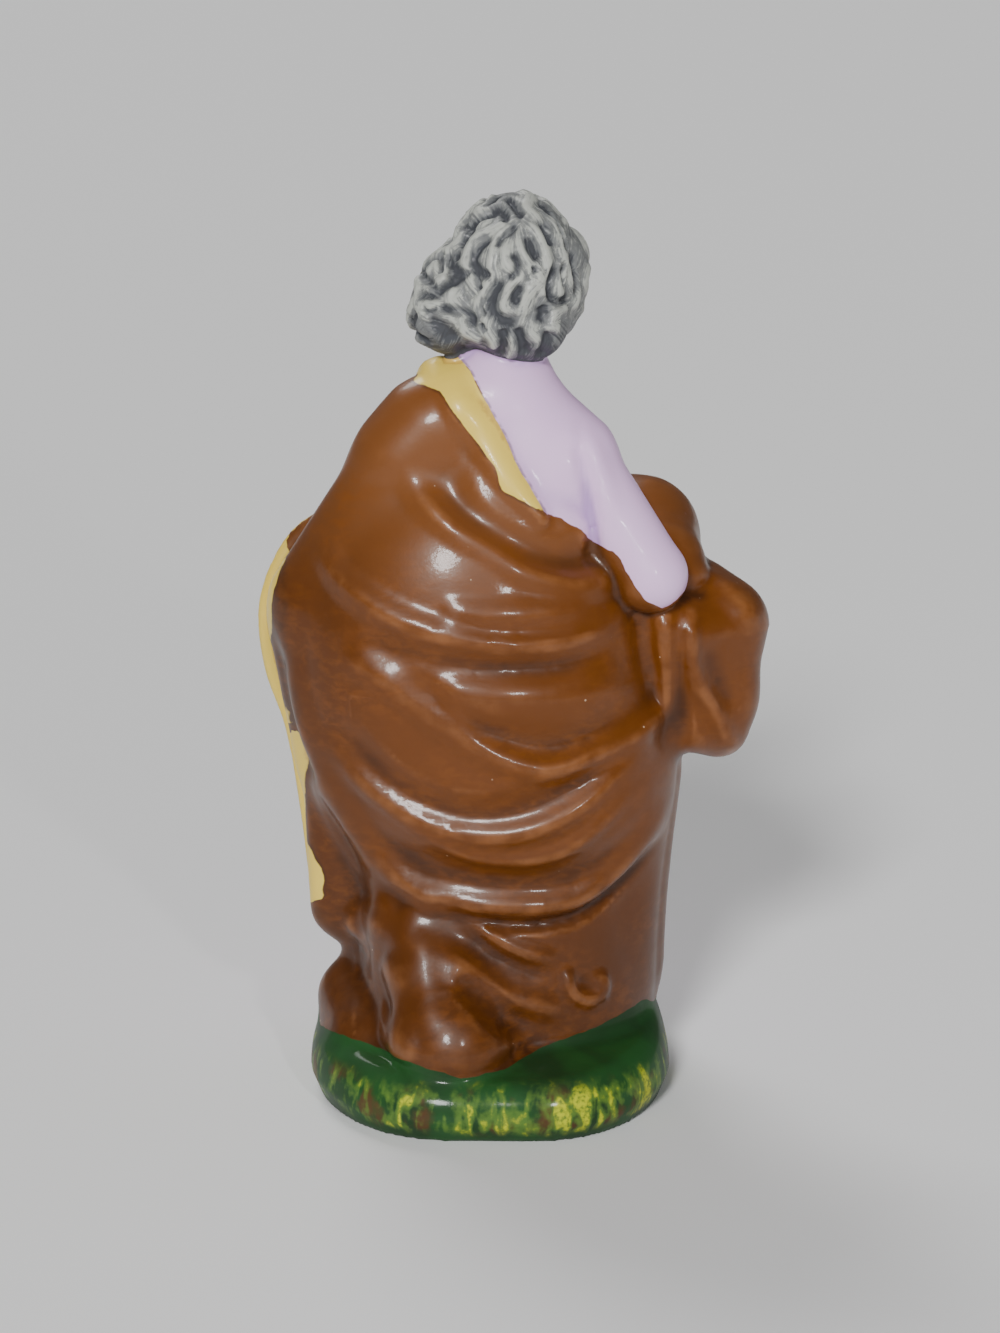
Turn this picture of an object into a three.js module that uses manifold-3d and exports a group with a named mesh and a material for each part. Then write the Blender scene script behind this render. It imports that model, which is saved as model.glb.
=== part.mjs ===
// Kneeling nativity figurine: an elderly bearded man in a long tunic and a
// draped cloak, cast in one with its grass mound. Millimetres, +Z up, the
// figure faces -Y, and the origin is the middle of the mound's flat underside.
import * as THREE from 'three';
import { mergeVertices } from 'three/addons/utils/BufferGeometryUtils.js';
import Module from 'manifold-3d';

const wasm = await Module();
wasm.setup();

// Driving dimensions
const totalHeight = 200;
const moundHeight = 13;
const moundHalfWidth = 40;
const moundHalfDepth = 47;
const headHeight = 36;
const hemTop = moundHeight - 3;
const edgeBand = { halfWidth: [3.2, 3.4, 4.2, 4.8, 4.8, 4.4, 4.2, 3.6], thickness: 2.3 };
const collarBand = { halfWidth: [1.6, 2.8, 3, 3.1, 3.1, 3.1, 3, 2.8, 1.2], thickness: 1.7 };
const handScale = 1.25;
const lockCount = 11;
const lockDepth = 0.8;

// Mesh fineness: [around, up]
const bodyMesh = [46, 39];
const headMesh = [4 * lockCount, 21];
const fallMesh = [16, 13];
const legMesh = [16, 13];
const handMesh = [12, 9];
const moundMesh = [36, 3];

// Landmarks of the pose, all in the part's own frame
const at = (x, y, z) => new THREE.Vector3(x, y, z);
const neck = at(-1.5, -3, 160);
const headCentre = at(-2.5, -7, totalHeight - headHeight / 2 - 0.5);
const shoulder = { left: at(21.6, 1, 142.6), right: at(-15.5, 2, 143.5) };
const elbow = { left: at(39.5, 0, 111), right: at(-32.5, 9, 119) };
const hip = { left: at(14, 1, 72), right: at(-13, 0, 72) };
const knee = { left: at(16, -26, 25), right: at(-17, -38, 69) };
const heel = at(10, 24, 23);
const foot = at(-20, -45.2, 15.4);
const wrist = { left: at(6, -32, 125), right: at(-5, -32, 125) };
const foldedArm = at(-31, -20, 121);
const hands = at(0.5, -38, 133);

// The head looks down and toward the figure's left.
const headTurn = new THREE.Quaternion().setFromEuler(
  new THREE.Euler(THREE.MathUtils.degToRad(12), 0, THREE.MathUtils.degToRad(20), 'ZYX')
);

// Soft forms: each returns the signed distance from a point to its surface.
function ball(centre, rx, ry = rx, rz = rx) {
  const radii = at(rx, ry, rz);
  const squared = radii.clone().multiply(radii);
  return (p) => {
    const q = p.clone().sub(centre);
    const near = q.clone().divide(radii).length();
    const slope = q.divide(squared).length();
    return slope === 0 ? -Math.min(rx, ry, rz) : (near * (near - 1)) / slope;
  };
}

function limb(from, to, startRadius, endRadius = startRadius) {
  const along = to.clone().sub(from);
  return (p) => {
    const q = p.clone().sub(from);
    const t = THREE.MathUtils.clamp(q.dot(along) / along.lengthSq(), 0, 1);
    const radius = THREE.MathUtils.lerp(startRadius, endRadius, t);
    return q.addScaledVector(along, -t).length() - radius;
  };
}

function column(bottom, top, bottomRadii, topRadii) {
  return (p) => {
    const t = THREE.MathUtils.clamp((p.z - bottom.z) / (top.z - bottom.z), 0, 1);
    const rx = THREE.MathUtils.lerp(bottomRadii[0], topRadii[0], t);
    const ry = THREE.MathUtils.lerp(bottomRadii[1], topRadii[1], t);
    const x = (p.x - THREE.MathUtils.lerp(bottom.x, top.x, t)) / rx;
    const y = (p.y - THREE.MathUtils.lerp(bottom.y, top.y, t)) / ry;
    const side = (Math.hypot(x, y) - 1) * Math.min(rx, ry);
    return Math.max(side, bottom.z - p.z, p.z - top.z);
  };
}

// Joins forms with a fillet of the given size, as a modeller smooths clay.
function blend(size, ...forms) {
  return (p) =>
    forms
      .map((form) => form(p))
      .reduce((a, b) => {
        const mix = Math.max(size - Math.abs(a - b), 0) / size;
        return Math.min(a, b) - (mix * mix * size) / 4;
      });
}

function hollowed(size, form, ...hollows) {
  return (p) =>
    hollows
      .map((hollow) => -hollow(p))
      .reduce((a, b) => {
        const mix = Math.max(size - Math.abs(a - b), 0) / size;
        return Math.max(a, b) + (mix * mix * size) / 4;
      }, form(p));
}

// The trunk, the left leg that kneels, and the cloak that hangs over both
function bodyForm() {
  const shoulderTop = at(15.6, 0, 149.6);
  const torso = blend(
    8,
    ball(at(1, -3, 122), 26, 21, 38),
    limb(at(7, 0, 155.5), shoulderTop, 8.6, 9.2),
    limb(shoulderTop, shoulder.left, 9.2, 9.6),
    limb(at(-5, 0, 154.3), shoulder.right, 8, 10),
    limb(neck, at(-1, -5, 176), 7.8)
  );
  const upperArm = limb(shoulder.left, elbow.left, 9.5, 11.5);
  const cloakBack = blend(8, ball(at(7, 2, 97), 39, 25, 47), ball(at(-2, 3, 72), 35, 24, 34));
  const leftPanel = blend(
    6,
    limb(at(38, -5, 104), at(34.5, -6, 76), 11.5, 9),
    limb(at(34.5, -6, 76), at(33.5, -4, 40.5), 9, 8),
    ball(at(32, -2, 18), 9, 12, 9)
  );
  const rightDrape = limb(at(-26.5, -3, 76), at(-23.5, -4, 26), 13, 11);
  const skirt = column(at(0, -5, hemTop), at(0, -3, 118), [35.5, 31], [25, 19]);
  const legs = blend(
    6,
    limb(hip.left, knee.left, 15, 13),
    limb(at(14, 14, 40), heel, 9, 11),
    ball(at(10, 24, 17), 13, 13, 9),
    ball(at(24, 10, 15.5), 14, 14, 8.5)
  );
  return blend(5, torso, upperArm, cloakBack, skirt, legs, leftPanel, rightDrape);
}

// The right leg, raised at the knee, with the tunic hanging from it and drawn to the left knee
const raisedLegForm = () =>
  blend(
    8,
    limb(hip.right, knee.right, 15, 12.5),
    column(at(-18, -20, hemTop), at(-17, -25, 70), [15.5, 24], [12, 21]),
    limb(at(-12, -34, 60), at(14, -26, 30), 9, 11)
  );

// The end of the cloak, gathered over the right forearm and falling outside it
const fallForm = () =>
  blend(
    6,
    limb(at(-48.6, -6, 104), at(-48.9, -5, 88), 11, 7.3),
    limb(at(-48.9, -5, 88), at(-48.8, -4.5, 80.4), 7.3, 6.2),
    limb(at(-40, 2, 104), at(-42, 0, 83), 8, 6),
    limb(at(-34, 3, 108), at(-34, 0, 84), 6, 6),
    limb(at(-43, -14, 109), at(-45, -14, 88), 8.5, 6)
  );

// Folds that hang in front of the forearm, shorter toward the hand: [top, foot, top radius]
const hangingEnds = [
  [at(-37, -22, 114), at(-39, -21, 87), 8],
  [at(-30, -27, 114), at(-31.5, -27, 92), 7.4],
  [at(-22.5, -30.5, 115.5), at(-23.5, -31.5, 98.5), 6.6],
  [at(-15.5, -33, 118), at(-15.8, -34.5, 106), 5.6]
];

// Folds of the cloak on the back, drawn as on a back elevation: [x, z] in millimetres.
// A ridge has a positive height and a valley a negative one.
const fold = (width, height, ...route) => ({
  width,
  height,
  route: new THREE.CatmullRomCurve3(route.map(([x, z]) => at(x, 0, z))).getPoints(24)
});

// The cloak is pulled up to both arms, so its folds sag between them.
const backFolds = [
  fold(5, -1.8, [11.5, 147], [6, 133], [-9.5, 123], [-21.5, 121]),
  fold(6, 1.8, [21, 144.5], [8, 130], [-10.5, 118.5], [-22, 117]),
  fold(4.5, 1.4, [-9, 131], [-18, 127], [-24, 123], [-28, 114]),
  fold(5, 1.6, [29, 127.5], [13, 117], [-7.5, 112], [-20, 112.5]),
  fold(4.5, -1.3, [20.5, 118], [4.5, 110], [-15, 108.5]),
  fold(5, 1.9, [38, 130], [29, 117], [10, 107.5], [-4, 105.5], [-27, 109]),
  fold(5, -1.6, [24, 107], [2, 101.5], [-22, 103]),
  fold(5, 1.5, [14, 99.5], [-2, 97.5], [-25, 101.5]),
  fold(4.5, 1, [12, 94], [-5, 91], [-26.5, 95.5]),
  fold(5, -1.7, [28, 103.5], [12, 91], [-5, 84.5], [-22.5, 86.5]),
  fold(5.5, 2, [36, 106], [21.5, 96], [5, 84], [-13, 79], [-31, 86]),
  fold(7, -1.9, [32.5, 93], [15, 77], [-5, 72.5], [-26, 79]),
  fold(5.5, 2.1, [38, 91], [26, 74], [0, 65], [-20, 69.5], [-34, 82]),
  fold(4.5, 1.2, [9.5, 61], [-9, 60], [-31, 74]),
  fold(6, -1.5, [22, 61.5], [-2, 53.5], [-30, 66]),
  fold(6, 2.6, [41, 75], [30, 56], [10, 48.5], [-10, 49], [-35, 71]),
  fold(4.5, -2.4, [12, 43.5], [-12, 44.5], [-36, 64])
];

const lowFolds = [
  fold(5.5, 2.2, [40, 68], [34, 54], [28, 45]),
  fold(5.5, -2.2, [39, 78], [30, 59], [21, 47]),
  fold(6, 1.5, [20, 46], [26, 30], [33, 21]),
  fold(5.5, -2.2, [22, 40], [23.5, 18]),
  fold(6, 2.3, [15, 45], [-1, 37], [-16, 30]),
  fold(6, -1.8, [10, 35], [-3, 29], [-14, 23])
];

const gatherFolds = [
  fold(5, -2, [-32, 113], [-32, 94], [-25.5, 79]),
  fold(4, 1.4, [-36, 107], [-37, 94], [-42, 82]),
  fold(4, 1.8, [-41, 112], [-42, 98], [-51, 80]),
  fold(4, -2, [-45, 109], [-46, 95], [-54, 80]),
  fold(4.5, 1.4, [-37, 91], [-27.5, 79], [-18.5, 71.5])
];

// The tunic hangs in plain upright folds below a girdle.
const hangingFold = (top, foot, height) => fold(4.5, height, [top, 88], [foot, 12]);
const frontFolds = [
  fold(4.5, 2, [-27, 100], [0, 95], [27, 100]),
  ...[-2, 9, 20, 31].map((x) => hangingFold(x * 0.8, x, 1.9)),
  ...[3, 14, 25].map((x) => hangingFold(x * 0.8, x, -1.1)),
  ...[-1, 1].map((side) => fold(4, 1.2, [side * 14, 150], [side * 9, 132], [side * 3, 112])),
  fold(5, 1.8, [-6, 76], [3, 62], [14, 56]),
  fold(5, 1.8, [-4, 62], [5, 44], [16, 36])
];
const legFolds = [
  ...[-28, -19, -10].map((x) => fold(4.5, 1.6, [-17 + (x + 17) * 0.4, 70], [x, 12])),
  ...[-23.5, -14.5].map((x) => fold(4, -1, [-17 + (x + 17) * 0.4, 66], [x, 12]))
];

// Folds on the figure's sides are drawn on a side elevation: [y, z].
const rightFolds = [-32, -19, -6, 7].map((y) => fold(6.5, 2.4, [y * 0.5 - 2, 84], [y, 12]));
const leftFolds = [-14, -1, 12].map((y) => fold(6.5, 2.2, [y * 0.5, 112], [y, 70], [y * 1.1, 16]));

// Height of one fold at a point of the elevation: full along its middle, fading to both ends
function foldHeight(u, z, { width, height, route }) {
  let nearest = Infinity;
  let share = 0;
  for (let i = 1; i < route.length; i += 1) {
    const a = route[i - 1];
    const b = route[i];
    const du = b.x - a.x;
    const dz = b.z - a.z;
    const t = THREE.MathUtils.clamp(
      ((u - a.x) * du + (z - a.z) * dz) / (du * du + dz * dz), 0, 1
    );
    const gap = Math.hypot(u - a.x - t * du, z - a.z - t * dz);
    if (gap < nearest) {
      nearest = gap;
      share = (i - 1 + t) / (route.length - 1);
    }
  }
  if (nearest >= width) return 0;
  const across = (1 - (nearest / width) ** 2) ** 2;
  const along = Math.min(1, Math.sin(Math.PI * share) * 1.8);
  return height * across * along;
}

// Raises folds along the surface wherever it faces the viewer of their elevation
const side = { back: at(0, 1, 0), front: at(0, -1, 0), left: at(1, 0, 0), right: at(-1, 0, 0) };

function drape(geometry, form, foldsBySide) {
  const position = geometry.attributes.position;
  const p = new THREE.Vector3();
  for (let i = 0; i < position.count; i += 1) {
    p.fromBufferAttribute(position, i);
    const n = outward(form, p);
    let rise = 0;
    for (const [name, folds] of Object.entries(foldsBySide)) {
      const facing = THREE.MathUtils.smoothstep(n.dot(side[name]), 0, 0.5);
      const u = side[name].x === 0 ? p.x : p.y;
      if (facing > 0) rise += facing * folds.reduce((sum, f) => sum + foldHeight(u, p.z, f), 0);
    }
    p.addScaledVector(n, rise);
    position.setXYZ(i, p.x, p.y, p.z);
  }
  return geometry;
}

// Head, hair and beard, modelled upright and facing -Y about the head's own centre
const skull = ball(at(0, -1, 0.2), 12.6, 13.8, 14.4);
const hair = blend(
  5,
  ball(at(1.2, 2, 0), 14.2, 15.6, 14.6),
  ball(at(-0.4, 2, 7), 10.4, 12, 11),
  ball(at(-10.4, 3.4, 2.6), 5.2, 7, 6),
  ball(at(15, 0.5, -5.2), 7.6, 8, 10.8),
  ball(at(16.7, 0, -7.3), 5.6, 6.5, 5.5),
  ball(at(-9.6, 1, -6), 4.4, 8, 8),
  ball(at(2.5, 8, -9.5), 10, 7, 8.3),
  ball(at(-2, 8, -12), 5, 6, 5.5)
);
const face = blend(
  3,
  ball(at(0, -6.5, -2.5), 11, 10.5, 13.5),
  limb(at(-5.5, -14, 3.4), at(5.5, -14, 3.4), 2.6),
  limb(at(0, -15, 2), at(0, -17.4, -3), 2.2, 2.9),
  ball(at(5.6, -12.2, -3), 4.5),
  ball(at(-5.6, -12.2, -3), 4.5)
);
const beard = blend(
  3,
  ball(at(0, -8, -12), 12.5, 9, 9),
  limb(at(0, -10.5, -14), at(0, -13, -24), 9.5, 5.5),
  limb(at(0, -16.2, -7), at(6.5, -13.5, -10.5), 2.6, 2),
  limb(at(0, -16.2, -7), at(-6.5, -13.5, -10.5), 2.6, 2)
);

// Wavy locks from the crown down, and down the beard
function lockRise(p) {
  const around = Math.atan2(p.x, -p.y);
  const wander = 0.8 * Math.sin(p.z / 2.6) + 0.5 * Math.sin(p.z / 4.1 + 3 * around);
  const fading = THREE.MathUtils.smoothstep(Math.hypot(p.x, p.y), 2, 9);
  return lockDepth * fading * Math.cos(lockCount * around + wander);
}

function headForm() {
  const sockets = [4.6, -4.6].map((x) => ball(at(x, -17, -0.1), 3, 2.6, 2.2));
  const eyes = [4.4, -4.4].map((x) => ball(at(x, -13.3, -0.3), 2.3));
  const bare = blend(1, hollowed(2, blend(1.5, skull, face), ...sockets), ...eyes);
  const locks = (p) => Math.min(hair(p), beard(p)) - lockRise(p);
  return blend(1.4, bare, locks);
}

// Joined hands: two palms together with the fingers pointing up and forward
function handForm() {
  const palm = (side) =>
    blend(
      1.5,
      ball(at(side * 2.4, 0, -2), 2.6, 5, 6.5),
      ...[-3, -1, 1, 3].map((y, i) =>
        limb(at(side * 1.9, y, 2), at(side * 1.4, y * 0.9, 12 - Math.abs(i - 1.6)), 1.6, 1.2)
      ),
      limb(at(side * 2.8, 4, -2), at(side * 2.2, 5.5, 5), 1.9, 1.5)
    );
  const upright = blend(0.8, palm(1), palm(-1), limb(at(0, 2, -6), at(0, 8, -16), 5.5, 6.5));
  const tilt = new THREE.Quaternion().setFromEuler(new THREE.Euler(0.3, 0, 0.1));
  const back = tilt.invert();
  const toUpright = (p) => p.clone().sub(hands).applyQuaternion(back).divideScalar(handScale);
  return (p) => upright(toUpright(p)) * handScale;
}

// Moves along a ray until it meets the form; null if it misses.
function reach(form, start, direction, length) {
  const p = start.clone();
  for (let travelled = 0; travelled < length; ) {
    const gap = form(p);
    if (gap < 0.01) return p;
    const step = Math.max(gap * 0.8, 0.02);
    travelled += step;
    p.addScaledVector(direction, step);
  }
  return null;
}

function outward(form, p) {
  const step = 0.4;
  const slope = (axis) => {
    const shift = axis.clone().multiplyScalar(step);
    return form(p.clone().add(shift)) - form(p.clone().sub(shift));
  };
  return at(slope(at(1, 0, 0)), slope(at(0, 1, 0)), slope(at(0, 0, 1))).normalize();
}

// Draws every vertex of a geometry in toward its target until it lies on the form.
function wrap(geometry, form, targetOf) {
  geometry.deleteAttribute('normal');
  geometry.deleteAttribute('uv');
  const merged = mergeVertices(geometry, 1e-3);
  const position = merged.attributes.position;
  const p = new THREE.Vector3();
  for (let i = 0; i < position.count; i += 1) {
    p.fromBufferAttribute(position, i);
    const target = targetOf(p);
    const length = p.distanceTo(target);
    if (length < 1e-6) continue;
    const direction = target.clone().sub(p).normalize();
    const hit = reach(form, p, direction, length) ?? target;
    position.setXYZ(i, hit.x, hit.y, hit.z);
  }
  return merged;
}

// Gives each four-sided cell the diagonal that runs along a fold, not across it.
function alignCells(geometry) {
  geometry.computeVertexNormals();
  const normal = geometry.attributes.normal;
  const index = geometry.index.array;
  const n = Array.from({ length: normal.count }, (_, i) =>
    new THREE.Vector3().fromBufferAttribute(normal, i)
  );
  for (let i = 0; i + 5 < index.length; i += 6) {
    const [a, b, d, e, c, f] = index.slice(i, i + 6);
    if (e !== b || f !== d) continue;
    if (n[a].dot(n[c]) > n[b].dot(n[d])) index.set([a, b, c, a, c, d], i);
  }
  return geometry;
}

// The mesh rows of the body rise to both sides, more to the left, as the folds do.
function sag(z, turn) {
  const { smoothstep } = THREE.MathUtils;
  const both = 20 * smoothstep(z, 8, 60) * (1 - smoothstep(z, 60, 168));
  const tilt = 11 * smoothstep(z, 30, 110) * (1 - smoothstep(z, 120, 168));
  return both * Math.sin(turn) ** 2 + tilt * Math.sin(turn);
}

function bodyGeometry() {
  const axis = at(0, -3, 0);
  const reachOut = 90;
  const top = neck.z + 8;
  const backFineness = 0.3;
  const [segments, rows] = bodyMesh;
  const profile = [new THREE.Vector2(0, hemTop)];
  for (let row = 0; row <= rows; row += 1) {
    profile.push(new THREE.Vector2(reachOut, THREE.MathUtils.lerp(hemTop, top, row / rows)));
  }
  profile.push(new THREE.Vector2(0, top));
  const lathe = new THREE.LatheGeometry(profile, segments);
  lathe.rotateX(Math.PI / 2);
  const position = lathe.attributes.position;
  for (let i = 0; i < position.count; i += 1) {
    const radius = Math.hypot(position.getX(i), position.getY(i));
    const turn = Math.atan2(position.getX(i), position.getY(i));
    const finer = turn - backFineness * Math.sin(turn);
    const x = axis.x + radius * Math.sin(finer);
    const y = axis.y + radius * Math.cos(finer);
    position.setXYZ(i, x, y, position.getZ(i) + sag(position.getZ(i), finer));
  }
  const isPole = (p) => Math.hypot(p.x - axis.x, p.y - axis.y) < 1e-3;
  const form = bodyForm();
  const body = wrap(lathe, form, (p) => (isPole(p) ? p.clone() : at(axis.x, axis.y, p.z)));
  const folds = {
    back: [...backFolds, ...lowFolds, ...gatherFolds],
    front: frontFolds,
    left: leftFolds,
    right: rightFolds
  };
  return alignCells(drape(body, form, folds));
}

// A sphere drawn onto a form that can be seen whole from its centre
function wrapAround(form, centre, [segments, rows]) {
  const sphere = new THREE.SphereGeometry(60, segments, rows);
  sphere.rotateX(Math.PI / 2);
  sphere.translate(centre.x, centre.y, centre.z);
  return wrap(sphere, form, () => centre);
}

function headGeometry() {
  const head = alignCells(wrapAround(headForm(), at(0, 0, 0), headMesh));
  head.applyQuaternion(headTurn);
  head.translate(headCentre.x, headCentre.y, headCentre.z);
  return head;
}

function raisedLegGeometry() {
  const form = raisedLegForm();
  const leg = wrapAround(form, at(-17, -22, 42), legMesh);
  return alignCells(drape(leg, form, { front: legFolds, right: rightFolds }));
}

function fallGeometry() {
  const form = fallForm();
  const fall = wrapAround(form, at(-42, -6, 101), fallMesh);
  return alignCells(drape(fall, form, { back: gatherFolds }));
}

// A straight limb with round ends, tapering from one radius to the other
function limbGeometry(from, to, startRadius, endRadius, segments = 12) {
  const arc = 3;
  const length = from.distanceTo(to);
  const profile = [];
  for (let i = 0; i <= arc; i += 1) {
    const angle = (i / arc - 1) * (Math.PI / 2);
    profile.push(new THREE.Vector2(startRadius * Math.cos(angle), startRadius * Math.sin(angle)));
  }
  for (let i = 0; i <= arc; i += 1) {
    const angle = (i / arc) * (Math.PI / 2);
    profile.push(
      new THREE.Vector2(endRadius * Math.cos(angle), length + endRadius * Math.sin(angle))
    );
  }
  profile[0].x = 0;
  profile.at(-1).x = 0;
  const lathe = new THREE.LatheGeometry(profile, segments);
  const along = to.clone().sub(from).normalize();
  lathe.applyQuaternion(new THREE.Quaternion().setFromUnitVectors(at(0, 1, 0), along));
  lathe.translate(from.x, from.y, from.z);
  lathe.deleteAttribute('normal');
  lathe.deleteAttribute('uv');
  return mergeVertices(lathe, 1e-3);
}

// A soft roll of cloth along a route
function rollGeometry(route, radius, steps) {
  const section = new THREE.Shape().absellipse(0, 0, radius, radius, 0, 2 * Math.PI);
  const roll = new THREE.ExtrudeGeometry(section, {
    steps,
    curveSegments: 4,
    bevelEnabled: false,
    extrudePath: new THREE.CatmullRomCurve3(route)
  });
  roll.deleteAttribute('normal');
  roll.deleteAttribute('uv');
  return mergeVertices(roll, 1e-3);
}

// A band of cloth: a roll whose half width follows the given values, pressed flat the way it faces
function bandGeometry(route, { halfWidth, thickness }, facing, steps) {
  const roll = rollGeometry(route, 1, steps);
  const path = new THREE.CatmullRomCurve3(route);
  const stations = Array.from({ length: steps + 1 }, (_, i) => {
    const share = i / steps;
    const along = path.getUtoTmapping(share) * (route.length - 1);
    const low = Math.min(Math.floor(along), route.length - 2);
    const width = THREE.MathUtils.lerp(halfWidth[low], halfWidth[low + 1], along - low);
    const centre = path.getPointAt(share);
    const tangent = path.getTangentAt(share);
    const normal = facing(centre);
    normal.addScaledVector(tangent, -normal.dot(tangent)).normalize();
    return { centre, normal, width };
  });
  const position = roll.attributes.position;
  const p = new THREE.Vector3();
  for (let i = 0; i < position.count; i += 1) {
    p.fromBufferAttribute(position, i);
    const gaps = stations.map(({ centre }) => centre.distanceTo(p));
    const { centre, normal, width } = stations[gaps.indexOf(Math.min(...gaps))];
    const offset = p.clone().sub(centre).multiplyScalar(width);
    offset.addScaledVector(normal, -offset.dot(normal) * (1 - thickness / width));
    p.copy(centre).add(offset);
    position.setXYZ(i, p.x, p.y, p.z);
  }
  return roll;
}

// A point of the elevation [x, z] set on the body's front (-1) or back (1), and sunk a little
const onBody = (form, side, sunk) => ([x, z]) => {
  const p = reach(form, at(x, side * 90, z), at(0, -side, 0), 180);
  return p.addScaledVector(outward(form, p), -sunk);
};

// The turned-back front edge of the cloak: from the chest over the left forearm, then
// down past the arm. It faces forward, and a little outward at the side.
function turnedEdgeGeometry() {
  const onChest = onBody(bodyForm(), -1, 1.2);
  const route = [
    onChest([22, 141]), onChest([31, 131]), at(43.2, -12, 121.5), at(49.4, -11, 108),
    at(48.4, -12, 94), at(44.2, -11.5, 80), at(41.2, -12.5, 60), at(39.6, -11.5, 40.5)
  ];
  const facing = (p) => at(p.x - 12, 6 * (p.y + 3), 0).normalize();
  return bandGeometry(route, edgeBand, facing, 16);
}

// The turned-down collar of the cloak, from the chest over the left of the neck and
// down the back
function collarGeometry() {
  const form = bodyForm();
  const front = [[27, 134], [21.5, 142], [17, 150]].map(onBody(form, -1, 0.3));
  const back = [[9.4, 157.5], [4, 150], [-2.5, 140.5], [-9, 133]].map(onBody(form, 1, 0.3));
  const route = [...front, at(15.5, -9, 158.5), at(13.6, -1, 163), ...back];
  return bandGeometry(route, collarBand, (p) => outward(form, p), 18);
}

// The grass mound: a low rounded slab with a slightly wavy outline
function moundGeometry() {
  const [segments, rim] = moundMesh;
  const profile = [new THREE.Vector2(0, 0), new THREE.Vector2(0.95, 0)];
  for (let i = 0; i <= rim; i += 1) {
    const angle = (i / rim) * (Math.PI / 2);
    profile.push(
      new THREE.Vector2(0.86 + 0.14 * Math.cos(angle), 4 + (moundHeight - 4) * Math.sin(angle))
    );
  }
  profile.push(new THREE.Vector2(0.6, moundHeight + 2.4), new THREE.Vector2(0, moundHeight + 3));
  const lathe = new THREE.LatheGeometry(profile, segments);
  lathe.rotateX(Math.PI / 2);
  lathe.deleteAttribute('normal');
  lathe.deleteAttribute('uv');
  const mound = mergeVertices(lathe, 1e-4);
  const position = mound.attributes.position;
  for (let i = 0; i < position.count; i += 1) {
    const x = position.getX(i);
    const y = position.getY(i);
    const angle = Math.atan2(y, x);
    const corner = Math.abs(Math.cos(angle)) ** 2.5 + Math.abs(Math.sin(angle)) ** 2.5;
    const wave = corner ** -0.4 + 0.012 * Math.sin(3 * angle + 0.6) + 0.008 * Math.sin(7 * angle);
    const lift = 4.5 * x * x * (position.getZ(i) / moundHeight);
    position.setXYZ(
      i,
      2 + x * moundHalfWidth * wave,
      -4 + y * moundHalfDepth * wave,
      position.getZ(i) + lift
    );
  }
  return mound;
}

function solid(geometry) {
  return new wasm.Manifold(
    new wasm.Mesh({
      numProp: 3,
      vertProperties: new Float32Array(geometry.attributes.position.array),
      triVerts: new Uint32Array(geometry.index.array)
    })
  );
}

function geometryOf(manifold) {
  const mesh = manifold.getMesh();
  const geometry = new THREE.BufferGeometry();
  geometry.setAttribute('position', new THREE.BufferAttribute(mesh.vertProperties, 3));
  geometry.setIndex(new THREE.BufferAttribute(mesh.triVerts, 1));
  geometry.computeVertexNormals();
  return geometry;
}

const parts = [
  bodyGeometry(),
  headGeometry(),
  raisedLegGeometry(),
  limbGeometry(shoulder.right, elbow.right, 9, 8),
  limbGeometry(elbow.right, wrist.right, 8, 7),
  limbGeometry(at(-34, -6, 117), foldedArm, 11.5, 13),
  limbGeometry(foldedArm, at(-12, -31, 126), 13, 9),
  ...hangingEnds.map(([top, end, radius]) => limbGeometry(top, end, radius, radius * 0.6, 10)),
  fallGeometry(),
  limbGeometry(elbow.left, wrist.left, 10.5, 8.5),
  turnedEdgeGeometry(),
  collarGeometry(),
  wrapAround(handForm(), hands, handMesh),
  limbGeometry(at(-19, -34, 17), foot, 7.4, 6, 10),
  moundGeometry()
].map(solid);
const cast = parts.reduce((whole, part) => whole.add(part));

const figurine = new THREE.Mesh(
  geometryOf(cast),
  new THREE.MeshStandardMaterial({ color: 0x74401d, roughness: 0.3, metalness: 0 })
);
figurine.name = 'kneeling_figurine';

const root = new THREE.Group();
root.add(figurine);

export default root;
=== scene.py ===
import math

import bmesh
import bpy
import numpy as np
from mathutils import Euler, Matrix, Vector


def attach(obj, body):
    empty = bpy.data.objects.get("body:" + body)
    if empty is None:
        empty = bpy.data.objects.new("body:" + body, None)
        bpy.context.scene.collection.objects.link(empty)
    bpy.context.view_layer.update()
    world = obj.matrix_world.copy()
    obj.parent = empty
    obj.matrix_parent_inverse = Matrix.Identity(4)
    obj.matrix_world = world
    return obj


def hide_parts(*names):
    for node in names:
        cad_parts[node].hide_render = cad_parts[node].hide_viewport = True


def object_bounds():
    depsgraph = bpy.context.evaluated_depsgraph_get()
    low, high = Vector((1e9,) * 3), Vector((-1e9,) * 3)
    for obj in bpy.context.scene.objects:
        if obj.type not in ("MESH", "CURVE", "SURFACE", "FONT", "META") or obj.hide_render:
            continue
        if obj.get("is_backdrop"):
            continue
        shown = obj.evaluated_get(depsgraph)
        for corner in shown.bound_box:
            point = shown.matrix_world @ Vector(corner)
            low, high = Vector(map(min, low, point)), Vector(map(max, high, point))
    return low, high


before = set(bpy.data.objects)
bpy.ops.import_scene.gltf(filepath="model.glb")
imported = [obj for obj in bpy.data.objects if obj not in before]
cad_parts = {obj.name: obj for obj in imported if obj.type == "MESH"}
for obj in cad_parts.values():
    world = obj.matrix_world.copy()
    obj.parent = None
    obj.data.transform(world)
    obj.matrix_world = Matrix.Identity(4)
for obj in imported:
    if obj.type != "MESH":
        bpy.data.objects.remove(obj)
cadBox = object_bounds()
print("frame loaded")

# A kneeling figurine, cast in one with its grass mound and painted by hand.
# Forms are soft signed distances in millimetres: the solid's own, with a lower heel and calf.
mm = 0.001


# soft forms

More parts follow.
